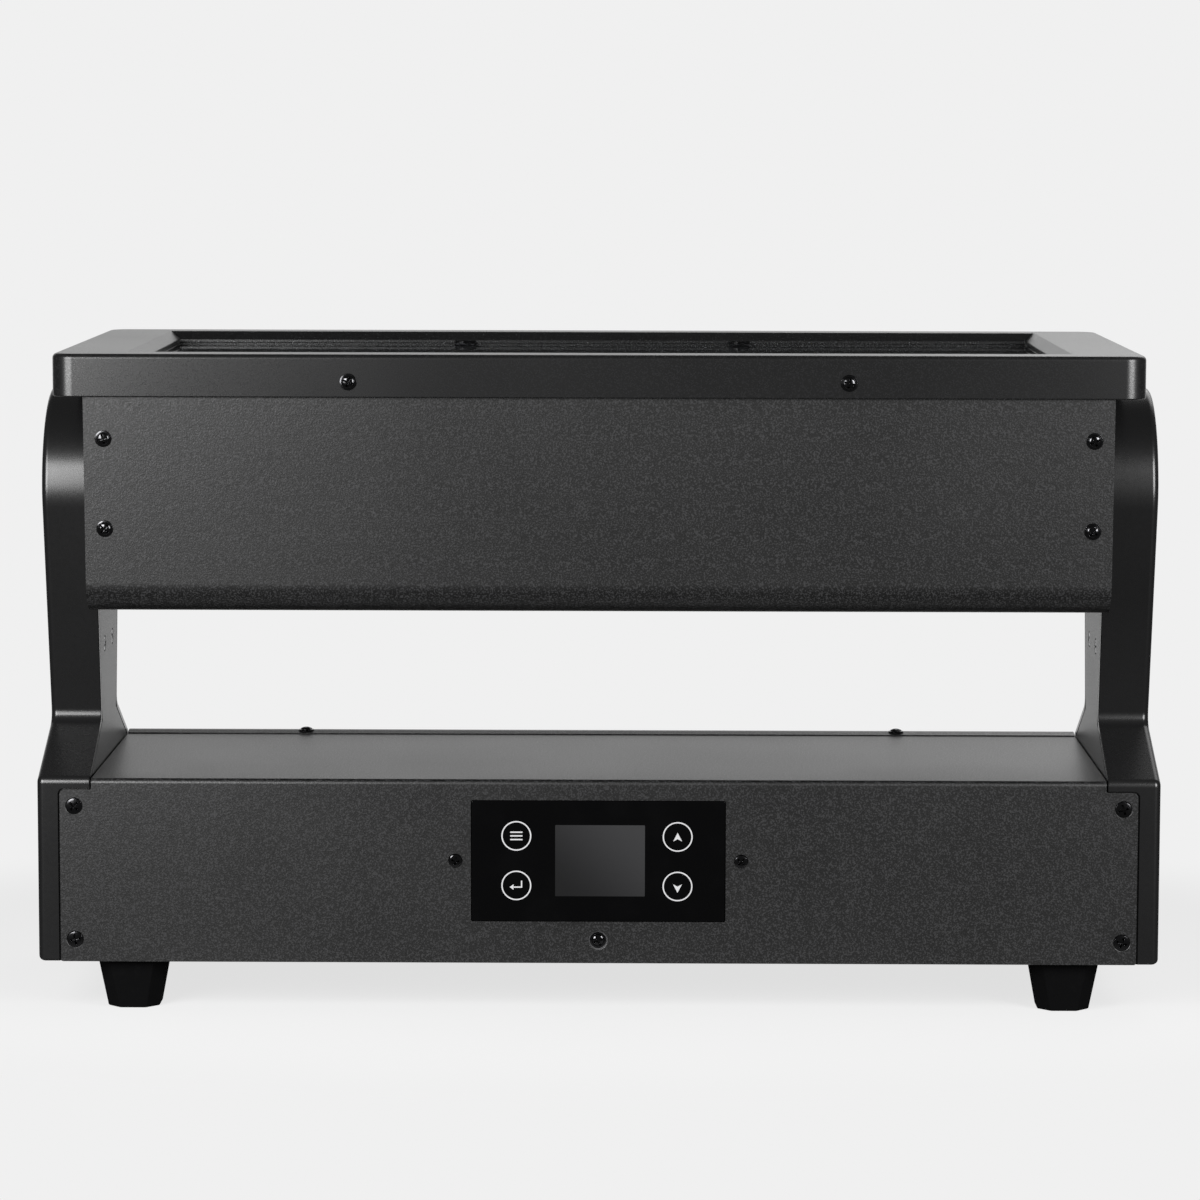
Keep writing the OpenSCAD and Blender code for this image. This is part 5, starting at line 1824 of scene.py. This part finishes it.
@dataclass
class CarriedNodes:
    """The frame's own nodes that stay in view, with finer finishes and broken edges."""

    weld: float = 0.002
    flat_angle: float = 0.5
    edge: Edge = field(default_factory=lambda: Edge(0.18, 2, 42.0))
    sharp_edged: tuple[str, ...] = ("window_glass", "tilt_belt", "heat_sink")

    def _dress(self, piece: bpy.types.Object, coat: Coat) -> None:
        """Gives one node its finish and its modifiers.

        Args:
            piece: The node's object.
            coat: The finish.
        """
        mesh = piece.data
        if mesh.has_custom_normals:
            chosen = {"object": piece, "active_object": piece, "selected_objects": [piece]}
            with bpy.context.temp_override(**chosen):
                bpy.ops.mesh.customdata_custom_splitnormals_clear()
        mesh.materials.clear()
        mesh.materials.append(coat.material)
        mesh.shade_smooth()
        weld = piece.modifiers.new("joined faces", "WELD")
        weld.merge_threshold = self.weld * MM
        flat = piece.modifiers.new("plain faces", "DECIMATE")
        flat.decimate_type = "DISSOLVE"
        flat.angle_limit = math.radians(self.flat_angle)
        if piece.name in self.sharp_edged:
            mesh.shade_flat()
        else:
            self.edge.soften(piece)

    def build(self, replaced: Sequence[str]) -> None:
        """Dresses the nodes.

        Args:
            replaced: The nodes that new pieces stand for.
        """
        coats = {coat.value.name: coat for coat in Coat}
        for part in frame["record"]["subparts"]:
            name = part["node"]
            if name not in replaced:
                self._dress(frame["nodes"][name], coats[part["material_slot"]])
        log.info("%d nodes carried over", len(frame["nodes"]) - len(replaced))


# ---------------------------------------------------------------- studio


@dataclass
class SoftBox:
    """A rectangular lamp aimed at the middle of the object."""

    name: str
    azimuth: float
    elevation: float
    distance: float
    width: float
    height: float
    power: float

    def build(self, aim: Vector) -> None:
        """Hangs the lamp.

        Args:
            aim: What it points at, in metres.
        """
        lamp = bpy.data.lights.new(self.name, "AREA")
        lamp.shape = "RECTANGLE"
        lamp.size, lamp.size_y = self.width, self.height
        lamp.energy = self.power
        turn, rise = math.radians(self.azimuth), math.radians(self.elevation)
        level = math.cos(rise)
        way = Vector((math.sin(turn) * level, -math.cos(turn) * level, math.sin(rise)))
        made = bpy.data.objects.new(self.name, lamp)
        made.location = aim + way * self.distance
        made.rotation_euler = way.to_track_quat("Z", "Y").to_euler()
        made.visible_camera = False
        bpy.context.scene.collection.objects.link(made)


@dataclass
class Studio:
    """Pale floor and backdrop, soft boxes and the camera."""

    pale: float = 0.871
    fill: float = 0.07
    front: float = 0.06
    glow: float = 0.871
    behind: tuple[float, float] = (0.72, 0.95)
    floor_albedo: float = 0.8
    floor_half: tuple[float, float] = (0.46, 0.30)
    floor_y: float = 0.07
    floor_steps: int = 96
    fade: tuple[float, float] = (0.62, 0.97)
    floor_share: float = 0.27
    bounce: float = 0.25
    rear: tuple[float, float] = (0.05, 0.3)
    camera_at: tuple[float, float, float] = (0.0137, -1.764, 0.350)
    pitch: float = 0.1097
    yaw: float = 0.0078
    roll: float = 0.0023
    focal_px: float = 4400.0
    sensor: float = 36.0
    boxes: tuple[SoftBox, ...] = (
        SoftBox("left box", -36.0, 17.0, 0.85, 0.42, 0.42, 5.9),
        SoftBox("right box", 44.0, 17.0, 0.85, 0.3, 0.42, 4.3),
        SoftBox("rear right box", 150.0, 35.0, 1.3, 0.8, 0.6, 2.0),
    )

    def _backdrop(self) -> None:
        """Makes the world: pale for the camera and through glass, dark in front for reflections."""
        scene = bpy.context.scene
        world = scene.world or bpy.data.worlds.new("studio")
        scene.world = world
        world.cycles.sampling_method = "NONE"
        tree = Tree(world)
        way = tree.node("ShaderNodeTexCoord", output="Generated")
        behind = tree.axis("Y", way).smooth(*self.behind)
        mirrored = tree.light_ray("Is Glossy Ray")
        through = tree.light_ray("Is Transmission Ray")
        seen = tree.light_ray("Is Camera Ray").larger(through)
        dim = self.front + (self.glow - self.front) * behind
        level = self.fill + mirrored * (dim - self.fill)
        level = level + seen * (self.pale - level)
        shader = tree.node("ShaderNodeBackground", {}, {"Color": WHITE, "Strength": level})
        tree.node("ShaderNodeOutputWorld", {}, {"Surface": shader}, None)

    def _floor(self) -> None:
        """Lays a pale disc that keeps the object's shadow and fades into the backdrop."""
        wide, deep = self.floor_half
        turns = [2 * math.pi * k / self.floor_steps for k in range(self.floor_steps)]
        ring = [(wide * math.cos(t), self.floor_y + deep * math.sin(t), 0.0) for t in turns]
        mesh = bpy.data.meshes.new("floor")
        mesh.from_pydata(ring, [], [list(range(self.floor_steps))])
        floor = bpy.data.objects.new("floor", mesh)
        bpy.context.scene.collection.objects.link(floor)
        material = bpy.data.materials.new("pale floor")
        material.cycles.emission_sampling = "NONE"
        tree = Tree(material)
        scale = (1 / wide, 1 / deep, 1.0)
        middle = (0.0, -self.floor_y / deep, 0.0)
        settings = {"operation": "MULTIPLY_ADD"}
        spot = tree.node("ShaderNodeVectorMath", settings, {0: tree.place(), 1: scale, 2: middle})
        out = tree.node("ShaderNodeVectorMath", {"operation": "LENGTH"}, {0: spot}, "Value")
        far = out.smooth(*self.fade)
        grain = tree.noise(40.0, 3.0)
        tone = tree.blend(grain, (self.floor_albedo - 0.01,) * 3, (self.floor_albedo + 0.01,) * 3)
        matt = tree.surface(Base_Color=tone, Roughness=0.9, Specular_IOR_Level=0.1)
        mirrored = tree.light_ray("Is Glossy Ray")
        fore = 1.0 - tree.axis("Y").smooth(*self.rear)
        level = self.pale + mirrored * fore * (self.front - self.pale)
        glow = tree.node("ShaderNodeEmission", {}, {"Color": WHITE, "Strength": level})
        haze = tree.node("ShaderNodeEmission", {}, {"Color": WHITE, "Strength": 1.0})
        dull = tree.surface(Base_Color=(self.bounce,) * 3, Roughness=0.9, Specular_IOR_Level=0.1)
        near = tree.pick(mirrored, tree.pick(self.floor_share, haze, matt), dull)
        shown = tree.pick(far, near, glow)
        seen = tree.light_ray("Is Camera Ray").larger(mirrored)
        seen = seen.larger(tree.light_ray("Is Transmission Ray"))
        lit = tree.pick(seen, dull, shown)
        under = tree.node("ShaderNodeNewGeometry", output="Backfacing")
        open_way = tree.node("ShaderNodeBsdfTransparent")
        tree.node("ShaderNodeOutputMaterial", {}, {"Surface": tree.pick(under, lit, open_way)}, None)
        mesh.materials.append(material)
        floor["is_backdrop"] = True

    def _camera(self) -> None:
        """Sets up the camera."""
        data = bpy.data.cameras.new("camera")
        data.sensor_width = self.sensor
        data.lens = self.focal_px / IMAGE_SIDE * self.sensor
        camera = bpy.data.objects.new("camera", data)
        turn = Matrix.Rotation(self.yaw, 4, "Z") @ Matrix.Rotation(math.pi / 2 - self.pitch, 4, "X")
        turn = turn @ Matrix.Rotation(self.roll, 4, "Z")
        camera.matrix_world = Matrix.Translation(self.camera_at) @ turn
        bpy.context.scene.collection.objects.link(camera)
        bpy.context.scene.camera = camera

    def build(self) -> None:
        """Sets up the studio."""
        bpy.context.scene.view_settings.view_transform = "Standard"
        self._backdrop()
        self._floor()
        low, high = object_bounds()
        aim = (Vector(low) + Vector(high)) / 2
        for box in self.boxes:
            box.build(aim)
        self._camera()


# ---------------------------------------------------------------- assembly


def fans() -> list[FanRotor]:
    """The three fan wheels.

    Returns:
        The wheels, the head's two and the base's one.
    """
    floor = AXIS_Z - 40.5
    return [
        FanRotor("head_fan_rotor_left", Body.HEAD_FAN_LEFT, (-92.0, 0.0, floor), (0, 0, 1)),
        FanRotor("head_fan_rotor_right", Body.HEAD_FAN_RIGHT, (92.0, 0.0, floor), (0, 0, 1)),
        FanRotor("base_fan_rotor", Body.BASE_FAN, (0.0, 65.5, SOCKET_Z), (0, -1, 0), 40.0, 10.0),
    ]


def main() -> None:
    """Builds every sub-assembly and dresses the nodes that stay."""
    logging.basicConfig(level=logging.INFO, format="%(message)s")
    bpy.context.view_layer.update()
    makers = [
        Bezel(), GlassClips(), HeadCasing(), HeadScrews(), Emitters(),
        ArmCasing(Side.LEFT), ArmCasing(Side.RIGHT), ArmScrews(),
        FrontCover(), RearCover(), TouchPanel(), BaseScrews(), SocketScrews(), Feet(), *fans(),
    ]
    for maker in makers:
        maker.build()
    replaced = [name for name in frame["nodes"] if frame["nodes"][name].hide_render]
    CarriedNodes().build(replaced)
    Studio().build()


if __name__ == "__main__":
    main()
